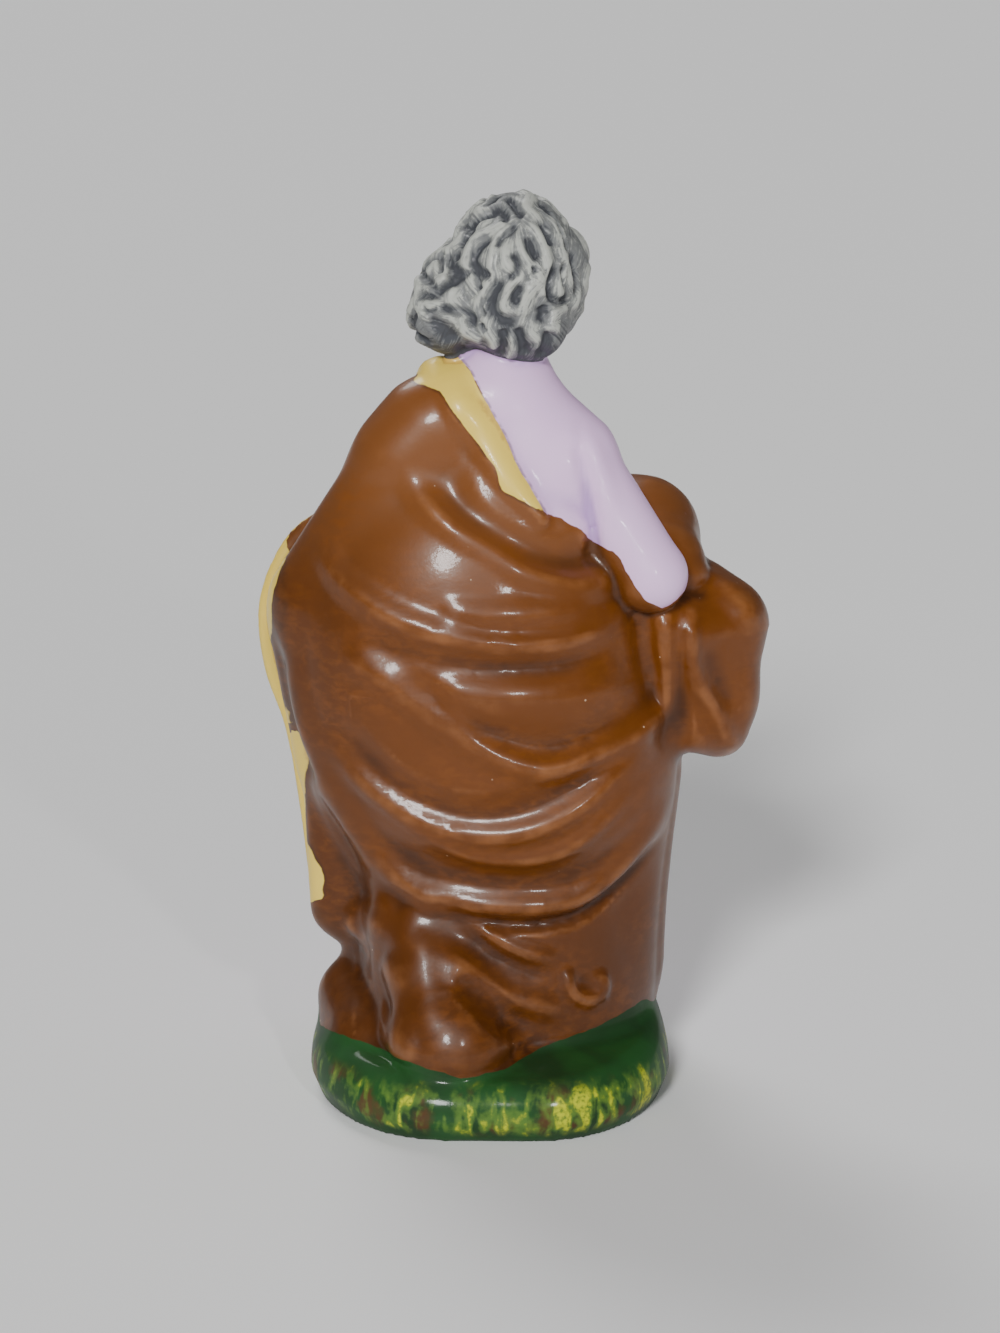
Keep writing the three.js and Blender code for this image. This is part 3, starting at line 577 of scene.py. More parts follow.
# name: height, half width, sharpness, route
cloakFolds = {
    "shoulderValley": (-1.8, 5.5, 0.2, [(11.3, 145.2), (9.2, 137), (3, 130.9), (-7.2, 125.1),
        (-15.5, 122.9), (-21.8, 123.3)]),
    "shoulderRidge": (1.9, 4.6, 0.5, [(20.5, 143.7), (16.4, 136.7), (9.1, 131.8), (2, 128.1),
        (-5.2, 123.6), (-13.4, 120.2), (-21.7, 118.6), (-25.4, 120)]),
    "topHem": (1.6, 4.2, 0.3, [(-9.5, 134), (-18.5, 129.5), (-24, 127), (-26.5, 123), (-27.5, 117)]),
    "armpit": (2.2, 5, 0.0, [(-22, 129), (-26.5, 124), (-29.5, 117), (-33.5, 111), (-37, 107)]),
    "bladeRidge": (1.0, 4.6, 0.2, [(13, 114.6), (9.1, 114.2), (2, 113.7), (-7.2, 113.8), (-15.4, 114),
        (-21.7, 114.6)]),
    "bladeCrease": (-0.5, 2, 0.4, [(13.2, 114.9), (4, 111.2), (-7.2, 109.9), (-17.5, 109.6),
        (-26, 111.2)]),
    "armRidge": (2.0, 4.8, 0.5, [(38.4, 128.9), (37.2, 123.6), (32.9, 118.7), (24.5, 113.8),
        (16.3, 110.6), (7.1, 108.4), (-3.1, 107.2), (-13.4, 107.4), (-20.7, 109.4), (-27.1, 111.6)]),
    "waistValley": (-1.2, 5.5, 0.1, [(30, 109), (24, 107), (15, 104.6), (3, 102.8), (-8.5, 102.4),
        (-22, 104.6)]),
    "waistRidge": (1.6, 8, 0.0, [(13, 93), (7.1, 95), (-4.2, 96), (-16.5, 95.6), (-27.1, 99)]),
    "hipValley": (-1.2, 5.5, 0.1, [(30, 102.5), (19.5, 98), (7.1, 91), (-3.1, 86), (-11.4, 85),
        (-19.7, 86.8), (-27, 91.5)]),
    "hipRidge": (1.9, 5, 0.4, [(35.1, 104), (29.8, 101.8), (24.6, 99.4), (19.5, 96.2), (9.2, 89.1),
        (1, 84), (-7.3, 80.7), (-13.5, 80.2), (-19.7, 81.6), (-28.2, 84.2), (-35.8, 90), (-36.9, 95)]),
    "seatValley": (-1.9, 6, 0.1, [(36.4, 89.4), (32.2, 83.7), (23.9, 75.9), (11.4, 70.6), (1.1, 70),
        (-9.3, 72.6), (-17.6, 76), (-25.9, 80.5), (-31.4, 86.6)]),
    "seatRidge": (2.1, 4.6, 0.6, [(39.6, 87.6), (35.4, 81.9), (29.1, 75.4), (21.8, 70.4), (13.5, 67),
        (6.2, 65.4), (-2, 65.6), (-9.3, 67.6), (-17.6, 71.9), (-23.8, 76.8), (-30.2, 80.7),
        (-36.8, 87.5)]),
    "seatRidge2": (1.4, 3.2, 0.5, [(26, 68.6), (11.4, 62.4), (3.1, 59.8), (-5.1, 59.4), (-13.5, 61),
        (-21.7, 66.6), (-30.2, 74.5)]),
    "lowValley": (-1.5, 6, 0.1, [(32.6, 66), (22, 58.5), (9.4, 54.4), (-5.2, 53), (-14.6, 54.4),
        (-25.3, 58), (-33.8, 65)]),
    "drapeHem": (2.2, 4.6, 0.3, [(34, 69), (27.5, 58), (19.5, 51.5), (11.5, 49.6), (4.2, 48.4),
        (-3.1, 48), (-10.4, 48), (-17.9, 49), (-26.4, 55), (-33.8, 62.7), (-37, 69)]),
    "underHem": (-2.2, 2.6, 0.4, [(12, 46.8), (4.2, 44.8), (-3.1, 44), (-10.5, 43.8), (-18.4, 45.4),
        (-27.2, 51.2), (-34.9, 59)]),
    "panelRidge": (1.9, 3.6, 0.5, [(39.6, 74), (39.2, 70.6), (37.1, 63.3), (34, 56.8), (31.3, 52.6),
        (28.7, 44.6)]),
    "panelFill": (1.2, 4, 0.0, [(40, 78), (36.5, 68), (31.5, 58), (26.5, 47), (24.5, 36)]),
    "panelRidge2": (1.3, 3.4, 0.4, [(26.5, 59), (23.1, 54.5), (17.8, 50.1), (12.6, 47.5)]),
    "panelKnob": (2.0, 5.5, 0.0, [(26, 43.5), (29.7, 39.5), (33.5, 35.5)]),
    "calfFill": (2.6, 5.5, 0.0, [(22, 37), (23.5, 29), (23, 22), (20, 15)]),
    "calfLine": (0.4, 3, 0.2, [(18.5, 46), (21.9, 40), (25.1, 33), (26, 28)]),
    "calfRidge": (1.2, 7, 0.0, [(17, 43), (18.5, 36), (18, 29), (15, 23)]),
    "calfValley": (-1.9, 3.6, 0.2, [(9.5, 33.5), (5, 29.6), (0.4, 24.8), (-5.7, 19.3)]),
    "calf2": (1.9, 4, 0.4, [(14.1, 39.5), (7.3, 34.2), (0.4, 29.4), (-5.7, 26.4), (-15, 22.8)]),
    "calfCrease": (-1.1, 3, 0.4, [(7.3, 44.4), (2.7, 38.9), (-4.1, 34.5), (-11.3, 31.3)]),
    "calfCreaseRidge": (1.3, 3, 0.5, [(8.5, 46.4), (4.5, 43.2), (0, 39.8), (-6, 37), (-13.5, 35)]),
    "twist": (1.9, 2.1, 0.3, [(-14.6, 33), (-14.9, 30.5), (-16.3, 27), (-19.6, 25), (-22.6, 26.2),
        (-22.4, 29), (-20, 30)]),
    "twistEye": (-1.0, 1.7, 0.2, [(-17.6, 31), (-18.2, 29), (-20, 27.8)]),
}
gatherFolds = {
    "gatherRidge": (1.6, 3.4, 0.5, [(-35, 113), (-35.5, 109.7), (-36.1, 102.6), (-36.9, 96),
        (-35.8, 89.1), (-31, 85.6), (-27.1, 83.3)]),
    "gatherValley": (-1.5, 3, 0.4, [(-39.4, 111), (-39.3, 102.8), (-38.9, 93.7), (-39.8, 86.7),
        (-40.4, 79)]),
    "flapRidge": (2.0, 3.4, 0.5, [(-41.4, 112), (-41, 107), (-41.2, 102), (-42.6, 96.2), (-46.6, 88.5),
        (-50.4, 79.9), (-52, 76)]),
    "flapHollow": (-0.8, 4, 0.1, [(-46, 104), (-46.5, 98), (-49, 92), (-52.5, 87)]),
    "flapTop": (1.3, 4, 0.4, [(-40, 118), (-46, 115.5), (-52, 111.5), (-57, 105)]),
}
sleeveFolds = {
    "sleeveCrease": (-2.0, 2.4, 0.5, [(-16.5, 154), (-18, 144), (-19.2, 135), (-20, 126), (-21, 122)]),
    "shoulderRidgeRight": (0.9, 3.6, 0.3, [(-14, 153), (-19, 147), (-22, 140), (-24.5, 131)]),
}
sideFolds = {
    "right": {f"right{y}": (1.8, 6, 0.2, [(y * 0.5 - 2, 84), (y, 12)]) for y in (-32, -19, -6)},
    "left": {f"left{y}": (1.8, 6, 0.2, [(y * 0.5, 112), (y, 70), (y * 1.1, 16)]) for y in (-14, -1, 12)},
}
frontFolds = {
    "swagHigh": (1.8, 4.6, 0.3, [(-6, 76), (3, 62), (14, 56)]),
    "swagLow": (1.8, 4.6, 0.3, [(-4, 62), (5, 44), (16, 36)]),
    **{f"hang{x}": (2.1, 4.2, 0.4, [(x * 0.8, 88), (x * 0.92, 50), (x, 12)]) for x in (-2, 9, 20, 31)},
    **{f"between{x}": (-1.6, 4, 0.3, [(x * 0.8, 88), (x * 0.9, 50), (x, 12)]) for x in (3, 14, 25)},
    **{f"chest{s}": (1.1, 3.6, 0.2, [(s * 14, 150), (s * 9, 132), (s * 3, 112)]) for s in (-1, 1)},
}
legFolds = {
    **{f"shin{x}": (1.8, 4, 0.4, [(-17 + (x + 17) * 0.4, 70), (x, 12)]) for x in (-28, -19, -10)},
    **{f"shinValley{x}": (-1.0, 3.6, 0.3, [(-17 + (x + 17) * 0.4, 66), (x, 12)]) for x in (-23.5, -14.5)},
}


carving = {"highest": 3.0, "smoothFrom": 0.1, "smoothRounds": 3}


def carveCloth(places):
    normal = outward(wholeForm, places)
    d = {name: form(places) for name, form in parts.items()}
    cloth = smoothstep(np.minimum(d["locks"], d["mound"] - 0.6), 0.2, 1.4)
    cloth *= smoothstep(np.minimum(d["hands"], d["shoe"]), 0.2, 1.2)
    bundled = smoothstep(np.minimum(d["body"], d["raisedLeg"]) - d["bundle"], -1, 1.5)
    plain = (1 - bundled) * smoothstep(d["collar"], 0.3, 4) * smoothstep(d["edge"], 0.3, 3)
    onArm = smoothstep(np.minimum(d["body"], d["bundle"]) - d["rightArm"], -1, 1)
    onLeg = smoothstep(d["body"] - d["raisedLeg"], -1, 1)
    rise = carve(places, normal, cloakFolds, "back", plain * (1 - onArm))
    rise += carve(places, normal, gatherFolds, "back", 1 - onArm)
    rise += carve(places, normal, sleeveFolds, "back", 1 - bundled)
    for side in ("left", "right"):
        rise += carve(places, normal, sideFolds[side], side, plain)
    rise += carve(places, normal, frontFolds, "front", plain * (1 - onLeg) * (1 - onArm))
    rise += carve(places, normal, legFolds, "front", onLeg)
    rise = carving["highest"] * np.tanh(rise / carving["highest"]) * cloth  # levels off where folds cross
    carved = places + normal * rise[:, None]
    smooth = (0.5 * cloth * (np.abs(rise) > carving["smoothFrom"]))[:, None]
    for _ in range(carving["smoothRounds"]):
        carved += smooth * (neighbourMean(figurine.data, carved) - carved)
    return carved


settled = places.copy()
places = carveCloth(places)
setPoints(figurine.data, places)
print("cloth carved")


# hair and beard, in locks laid on the head

hair = {
    "width": 2.5, "height": 0.9, "sharp": 0.2, "base": -0.15, "troughDepth": -1.1,
    # light locks of the back of the head, drawn on the back elevation
    "locks": [
        [(-3.7, 196.1), (1.1, 193.5), (5.3, 191.4), (6.9, 188.3), (7.4, 185.2), (5.8, 182.8),
            (4.2, 180.8)],
        [(-3.7, 195.2), (0, 192.2), (1.6, 189.1), (2.1, 186), (1.6, 183.9), (3.2, 181.3), (4.2, 178.2),
            (3.7, 175)],
        [(-2.1, 192.3), (-1.1, 189.4), (-1.6, 186.8), (-3.7, 184.8), (-2.6, 182.6), (-1.1, 180.4),
            (-0.5, 177.7), (-2.7, 176)],
        [(-4.2, 193.8), (-5.3, 188.7), (-8, 184.9), (-8.5, 183.3), (-6.4, 180.9), (-4.8, 177.3),
            (-4.2, 175.5)],
        [(-5.3, 195.6), (-8.5, 192), (-9.8, 188.5), (-10.6, 185.3), (-9.6, 181.6), (-8.5, 179.5)],
        [(-8, 197.6), (-12.8, 192.9), (-13.3, 189.1), (-13.8, 186.6), (-12.8, 182), (-12.8, 178.3),
            (-10.1, 177.9)],
        [(-15.5, 188.5), (-14.6, 183.9), (-16.6, 178.7), (-15.6, 175.7)],
        [(-14.5, 177), (-12.3, 176.2), (-10.6, 174.2), (-12.9, 171.7)],
        [(-6.9, 174.8), (-6.4, 172.6), (-8.5, 170.2), (-8, 168)],
        [(-1.6, 171.8), (-2.7, 169.5), (-1.6, 166.1)],
        [(2.7, 176.6), (3.2, 173.4), (1.6, 170.5), (0.5, 168.2)],
        [(8.5, 174.7), (8, 172.5), (5.9, 171.1), (3.7, 170.2)],
        [(13.9, 185.5), (16, 183.1), (17.6, 181)],
        [(17.6, 179), (15.4, 180.8), (12.8, 179.8)],
        [(17.6, 175.6), (14.9, 177.5), (11.7, 176.7)],
        [(9.6, 181.8), (10.6, 179.3), (8.5, 176.7), (6.4, 174.9)],
        [(5.4, 196.5), (8.6, 192.6), (11.2, 188.4), (12.3, 185.6), (10.7, 182.8)],
    ],
    # dark troughs between them: half width, route
    "troughs": [
        (2.0, [(7.6, 192.4), (5.8, 194), (3.8, 195.4), (1.6, 196.6), (0.2, 197)]),
        (1.4, [(-1.2, 199.5), (-2.9, 198.4), (-4.2, 196.8), (-5.2, 196.2)]),
        (1.8, [(1.6, 192), (3.8, 190.7), (5.3, 188.8), (5.9, 187), (4.7, 185.4), (3, 184.7),
            (2.2, 185.6)]),
        (1.0, [(-3.7, 194.7), (-2.1, 193.1), (-0.3, 192), (0.8, 189.9)]),
        (1.3, [(-2.6, 189.1), (-3.7, 187.2), (-3.4, 185.2), (-1.5, 183.7)]),
        (2.2, [(-6.1, 192.3), (-6.5, 190.2), (-8.4, 187.5)]),
        (1.8, [(-9, 194.8), (-10.1, 192.6), (-11.2, 190)]),
        (1.4, [(-9.6, 197.7), (-11.8, 194.9), (-13.5, 191.4), (-14, 188.3)]),
        (1.8, [(-15.7, 188.3), (-15.3, 185.9), (-15.9, 182.5), (-16.5, 178.4)]),
        (1.6, [(-12.1, 186.8), (-11, 184.1), (-10.4, 181.4), (-11.5, 178.8), (-13.4, 178.3),
            (-14.6, 179.1)]),
        (2.2, [(-0.1, 184.1), (0.8, 181.6), (1.6, 179.4), (1.3, 176.7), (-0.9, 174.8), (-3.7, 174.3)]),
        (1.6, [(-4.8, 182.4), (-3.4, 181), (-3.1, 179.4), (-4.5, 179.1)]),
        (2.4, [(-9, 178.1), (-9.5, 176.4), (-8.7, 174.2)]),
        (1.6, [(17.4, 179.1), (15.8, 179.8), (13.3, 180.1)]),
        (3.0, [(15.3, 174.5), (13.6, 174), (11.4, 172.2), (10.3, 169.5)]),
        (2.2, [(9.7, 168.8), (5.8, 166.1), (1.9, 166.1)]),
        (1.0, [(12.5, 187.2), (12.4, 185.5), (12.6, 183.8)]),
        (1.6, [(9.7, 185.6), (10, 183.6), (9.4, 181.6)]),
        (1.0, [(5.8, 186.2), (4.7, 183.1), (4.1, 181)]),
        (1.8, [(-0.6, 173.3), (-0.9, 170.4), (-0.1, 166.7)]),
        (1.8, [(-3.7, 173.5), (-4.5, 170.5), (-5.4, 166.9)]),
        (2.4, [(-10.9, 172.3), (-9.6, 169.3), (-8.8, 165.8)]),
        (1.0, [(3, 180), (4.1, 177.8), (3.3, 175.6)]),
        (0.9, [(8.9, 188.6), (9.3, 186.7)]),
        (1.0, [(-7, 186.5), (-7.7, 184.8)]),
        (0.9, [(-13.7, 186.5), (-13.1, 184), (-13.4, 181.2)]),
        (0.8, [(4.1, 174.5), (3, 172.2)]),
        (0.8, [(16.4, 177.2), (15.3, 176.2), (13, 177.3)]),
    ],
    # rows of the sides, top and front: azimuths from the face, polar angle from and to, sweep, wave
    "rows": [
        ((-160, -118, -88, -58, -30, 0, 30, 58, 88, 118), 12, 54, 1.1, 8),
        ((-104, -82, -60, 58, 80, 102), 46, 92, 1.06, 9),
        ((-112, -92, -72, 66, 88, 108), 84, 124, 1.0, 10),
    ],
    "rowTroughs": (1.5, ((0.0, 0.42), (0.52, 0.96))),  # half width, and shares of a row that they take
    "nape": (176, 165, 0.65),  # the hair darkens from the first height down to the second, by so much
}
beard = {
    "width": 1.9, "height": 0.9, "sharp": 0.3,
    # drawn on the face's own front elevation: the middle lock, and those of one half
    "middle": [(0, -13), (0.6, -16.5), (-0.5, -20.5), (0.4, -24.5), (0, -28)],
    "half": [
        [(0.6, -7), (3, -7.8), (5.6, -9.8), (7.6, -12.6)],
        [(1.8, -12.8), (2.7, -15.6), (1.4, -19), (1.8, -23), (0.8, -27)],
        [(4.6, -12.4), (6, -15.4), (4.4, -18.6), (4.8, -21.6), (3.4, -25)],
        [(8, -9.6), (8.8, -13), (7.2, -16.4), (7.4, -19.4), (5.6, -22)],
        [(10.6, -3.4), (11, -7.4), (10.2, -11.4), (9.8, -15.4)],
    ],
}
# name: height, half width, sharpness, route on the face's front elevation, for one half
faceLines = {
    "lidCrease": (-0.4, 0.8, 0.4, [(2.0, 1.3), (4.6, 2.3), (7.2, 1.1)]),
    "bag": (-0.25, 0.9, 0.2, [(2.6, -2.6), (4.6, -3.2), (6.6, -2.4)]),
    "brow": (0.5, 1.3, 0.3, [(1.7, 4.3), (4.4, 4.9), (7.5, 3.5)]),
    "wrinkle": (-0.3, 1.0, 0.3, [(-0.1, 7.2), (2.6, 7.5), (5.4, 7.0)]),
    "wrinkle2": (-0.25, 1.0, 0.3, [(-0.1, 9.4), (2.4, 9.7), (4.6, 9.3)]),
    "cheekFold": (-0.35, 1.0, 0.3, [(2.6, -4.2), (4.4, -6.4), (6.6, -8.4)]),
    "nostril": (-0.5, 0.6, 0.2, [(0.5, -5.5), (1.0, -5.6), (1.5, -5.3)]),
    "mouth": (-0.7, 0.7, 0.4, [(-0.1, -9.5), (1.6, -9.4), (3.0, -9.7)]),
}


def layOn(form, starts, direction, reach=60):  # moves points along a direction on to a form
    points = np.array(starts, float)
    best, bestGap = points.copy(), np.full(len(points), 1e3)
    travelled = np.zeros(len(points))
    for _ in range(120):
        gap = form(points)
        closer = gap < bestGap
        best[closer], bestGap[closer] = points[closer], gap[closer]
        step = np.where(travelled < reach, np.maximum(gap * 0.7, 0), 0)
        points += direction * step[:, None]
        travelled += step
    return best


def backRoute(points):  # on the back of the head, from the back elevation
    starts = np.array([(x, 40, z) for x, z in points])
    return catmull(layOn(parts["locks"], starts, np.array((0, -1, 0))), 4)


def faceRoute(form, points, mirror=1):  # on the face or beard, from the head's own front elevation
    starts = np.array([(mirror * x, -40, z) for x, z in points])
    return fromHead(catmull(layOn(form, starts, np.array((0, 1, 0))), 4))


def rowRoutes(between=0.0, spans=((0, 1),)):  # between: 0 for locks, 0.5 for the troughs beside them
    routes = []
    for row, (azimuths, start, end, sweep, wave) in enumerate(hair["rows"]):
        steps = np.diff(azimuths, append=azimuths[-1] + azimuths[1] - azimuths[0])
        spots = [(i, azimuth + between * step, span)
                 for i, (azimuth, step) in enumerate(zip(azimuths, steps))
                 for span in spans if between == 0 or step < 50]
        for i, azimuth, span in spots:
            t = np.linspace(*span, 7)
            bend = wave * np.sin(2 * np.pi * (1.15 * t + 0.37 * i + 0.21 * row))
            turn = np.radians(azimuth * (1 + (sweep - 1) * t) + bend)
            polar = np.radians(start + (end - start) * t)
            away = np.stack([np.sin(polar) * np.sin(turn), -np.sin(polar) * np.cos(turn), np.cos(polar)], 1)
            q = away * 34  # from well outside the head, inward
            for _ in range(80):
                q -= away * np.maximum(hairMass(q) * 0.7, 0)[:, None]
            routes.append(fromHead(catmull(q, 4)))
    return routes


def strands(places, normal, routes, reach=7):  # where each point lies along and across its nearest lock
    nearest = np.full(len(places), float(reach))
    along, across = np.zeros(len(places)), np.zeros(len(places))
    for number, route in enumerate(routes):
        inside = ((places > route.min(0) - reach) & (places < route.max(0) + reach)).all(1)
        box = np.flatnonzero(inside)
        for i, (a, b) in enumerate(zip(route[:-1], route[1:])):
            step = b - a
            t = np.clip((places[box] - a) @ step / max(step @ step, 1e-9), 0, 1)
            gap = places[box] - a - t[:, None] * step
            distance = np.linalg.norm(gap, axis=1)
            closer = distance < nearest[box]
            chosen = box[closer]
            nearest[chosen] = distance[closer]
            along[chosen] = (i + t[closer]) * np.linalg.norm(step)
            sideways = np.cross(step / max(np.linalg.norm(step), 1e-9), normal[chosen])
            across[chosen] = (gap[closer] * sideways).sum(1) + 11 * number
    return along, across


def layLocks(places, routes, width, sharp):  # the highest lock at each point, from 0 to 1
    rise = np.zeros(len(places))
    for route in routes:
        box = ((places > route.min(0) - width) & (places < route.max(0) + width)).all(1)
        distance, share = alongRoute(places[box], route)
        rise[box] = np.maximum(rise[box], profile(distance, share, width, sharp, 3))
    return rise


def carveHead(places):
    normal = outward(wholeForm, places)
    onHead = places[:, 2] > fineness["headBase"]
    locks = parts["locks"](places)
    proud = parts["face"](places) - locks
    rest = np.minimum(parts["body"](places), parts["collar"](places))
    hairy = smoothstep(proud, -0.6, 0.6) * smoothstep(rest - locks, -0.2, 1.2) * onHead
    bare = (1 - smoothstep(proud, -0.8, 0.4)) * onHead
    routes = [backRoute(points) for points in hair["locks"]] + rowRoutes()
    beardRoutes = [faceRoute(beardMass, points, s) for points in beard["half"] for s in (1, -1)]
    beardRoutes.append(faceRoute(beardMass, beard["middle"]))
    lock = layLocks(places, routes, hair["width"], hair["sharp"])
    rowWidth, spans = hair["rowTroughs"]
    troughs = layLocks(places, rowRoutes(0.5, spans), rowWidth, 0)
    for width, points in hair["troughs"]:
        troughs = np.maximum(troughs, layLocks(places, [backRoute(points)], width, 0))
    beardLock = layLocks(places, beardRoutes, beard["width"], beard["sharp"])
    onBeard = smoothstep(parts["hair"](places) - parts["beard"](places), -1, 1)
    troughs = troughs * (1 - onBeard)
    lift = hairy * (hair["base"] + hair["height"] * lock * (1 - 0.7 * troughs)
                    + hair["troughDepth"] * troughs + beard["height"] * beardLock)
    lift = np.where(onHead, lift, 0)
    along, across = strands(places, normal, routes + beardRoutes)
    seen = smoothstep(-(normal @ headAxes)[:, 1], 0.1, 0.5) * bare
    addFolds(lift, toHead(places)[:, [0, 2]], seen, faceLines, 3, (1, -1))
    fromHeight, toHeight, darker = hair["nape"]
    nape = darker * smoothstep(places[:, 2], fromHeight, toHeight) * smoothstep(places[:, 1], -8, 0)
    onHair = 0.05 + 0.5 * lock - 0.9 * troughs - nape * (1 - 0.7 * lock)
    shade = np.where(onHead, onHair * (1 - onBeard) + (beardLock - 0.25) * onBeard, 0)
    return places + normal * lift[:, None], {"lock": shade, "strandAlong": along, "strandAcross": across}


places, hairLines = carveHead(places)
setPoints(figurine.data, places)
print("hair and face carved")


# where each paint lies: signed distances in millimetres, positive inside the paint

view = {"height": 0.316, "distance": 0.821, "lookAt": 0.096, "lens": 104.17}


def asSeen(p):  # where the camera sees a point, on an upright plane through the figure's middle
    eye = np.array((view["distance"], 0, view["height"])) / mm
    share = eye[0] / (eye[0] - p[:, 1])
    return eye[1:] + share[:, None] * (p[:, [0, 2]] - eye[1:])


paintLines = {
    # the tunic's limit on the left and right of the front, as azimuths from the front by height
    "leftLimit": [(12, 68), (40, 76), (47, 86), (118, 86), (123, 76), (131, 70), (141, 52), (158, 35)],
    "rightLimit": [(108, -82), (117, -180)],
    # outlines on the back elevation
    "tunicBack": [(16.5, 166), (10.7, 166.9), (6.4, 163.2), (3.2, 157.5), (-1.1, 150), (-3.6, 144.2),
        (-7.5, 137.9), (-9.6, 134.4), (-12.8, 132.6), (-17.2, 129.5), (-20.9, 126.4), (-24.1, 125.7),
        (-25.8, 124), (-28.6, 118.8), (-31.6, 114.6), (-35.1, 112.6), (-38.8, 114.6), (-40.8, 117),
        (-60, 128), (-60, 190), (16.5, 190)],
    "collarBack": [(24, 161), (19.1, 160.5), (12.9, 159.4), (9.6, 155.1), (5.3, 149.5), (1.1, 144.2),
        (-0.4, 139.3), (-5.3, 137), (-9.6, 134.4), (-7.5, 137.9), (-3.6, 144.2), (-1.1, 150),
        (3.2, 157.5), (6.4, 163.2), (10.7, 166.9), (13.9, 171), (26, 171)],
    # these lie on the upright plane on which the camera sees them: the width of the cream edge inside
    # the outline by height, the width of the shadow line beside it, and the cloak's hem on the mound
    "edgeWidth": [(41, -1), (42.6, 2.9), (47.2, 4.1), (51.7, 3.1), (56.3, 1.9), (60.9, 2.2),
        (65.5, 2.9), (70, 3.4), (74.6, 3.8), (78.2, 4), (81.4, 3.3), (81.9, 1), (82.6, 1), (83.1, 3),
        (88.3, 3.3), (92.9, 3.3), (102, 3.4), (111.1, 3), (120.3, 3.2), (126, -1)],
    "shadowWidth": [(80, 0), (82.6, 1.6), (88.3, 3), (97.5, 3.2), (111, 3), (116.7, 1.8), (120, 0)],
    "hem": [(-50, 24), (-38.3, 21.7), (-33.2, 19.2), (-30.4, 16.7), (-21.7, 11.6), (-9.1, 6.6),
        (-1.1, 1.5), (8.4, -0.9), (16.3, 1.5), (25, 5.7), (38.4, 10.8), (50, 18)],
}
creamSide = {
    "tunicEnd": -10.5,  # the y at which the tunic ends beside the turned edge
    "rows": (36, 132, 2.0), "rowHalf": 1.5, "evened": 7,  # heights at which the outline is looked for
    "heights": (42, 123), "outside": 25,  # the cream on the side: its heights, and its least x
    "shadowHeights": (81, 120), "shadowFront": -16,  # the same of the shadow line, and its least y
}
# on the face's front elevation: centre, half widths; brow: half width at its inner end, and its taper
facePaint = {"eye": ((4.5, -1.05), (1.9, 0.58)), "iris": ((4.5, -0.95), (0.95, 0.7)),
             "lips": ((0, -10.1), (2.5, 1.0)), "brow": (0.95, 0.5), "deepest": -6}


def insideOutline(points, outline):  # signed distance to a closed outline, positive inside
    outline = np.array(outline, float)
    inside = np.zeros(len(points), bool)
    nearest = np.full(len(points), 1e3)
    for a, b in zip(outline, np.roll(outline, -1, 0)):
        nearest = np.minimum(nearest, alongRoute(points, [a, b])[0])
        spans = (a[1] > points[:, 1]) != (b[1] > points[:, 1])
        with np.errstate(divide="ignore", invalid="ignore"):
            crossing = a[0] + (points[:, 1] - a[1]) * (b[0] - a[0]) / (b[1] - a[1])
        inside ^= spans & (points[:, 0] < crossing)
    return np.where(inside, nearest, -nearest)


def ellipse(points, centre, radii):  # signed distance to an ellipse, positive inside
    q = (points - np.array(centre)) / np.array(radii)
    return (1 - np.sqrt((q * q).sum(1))) * min(radii)


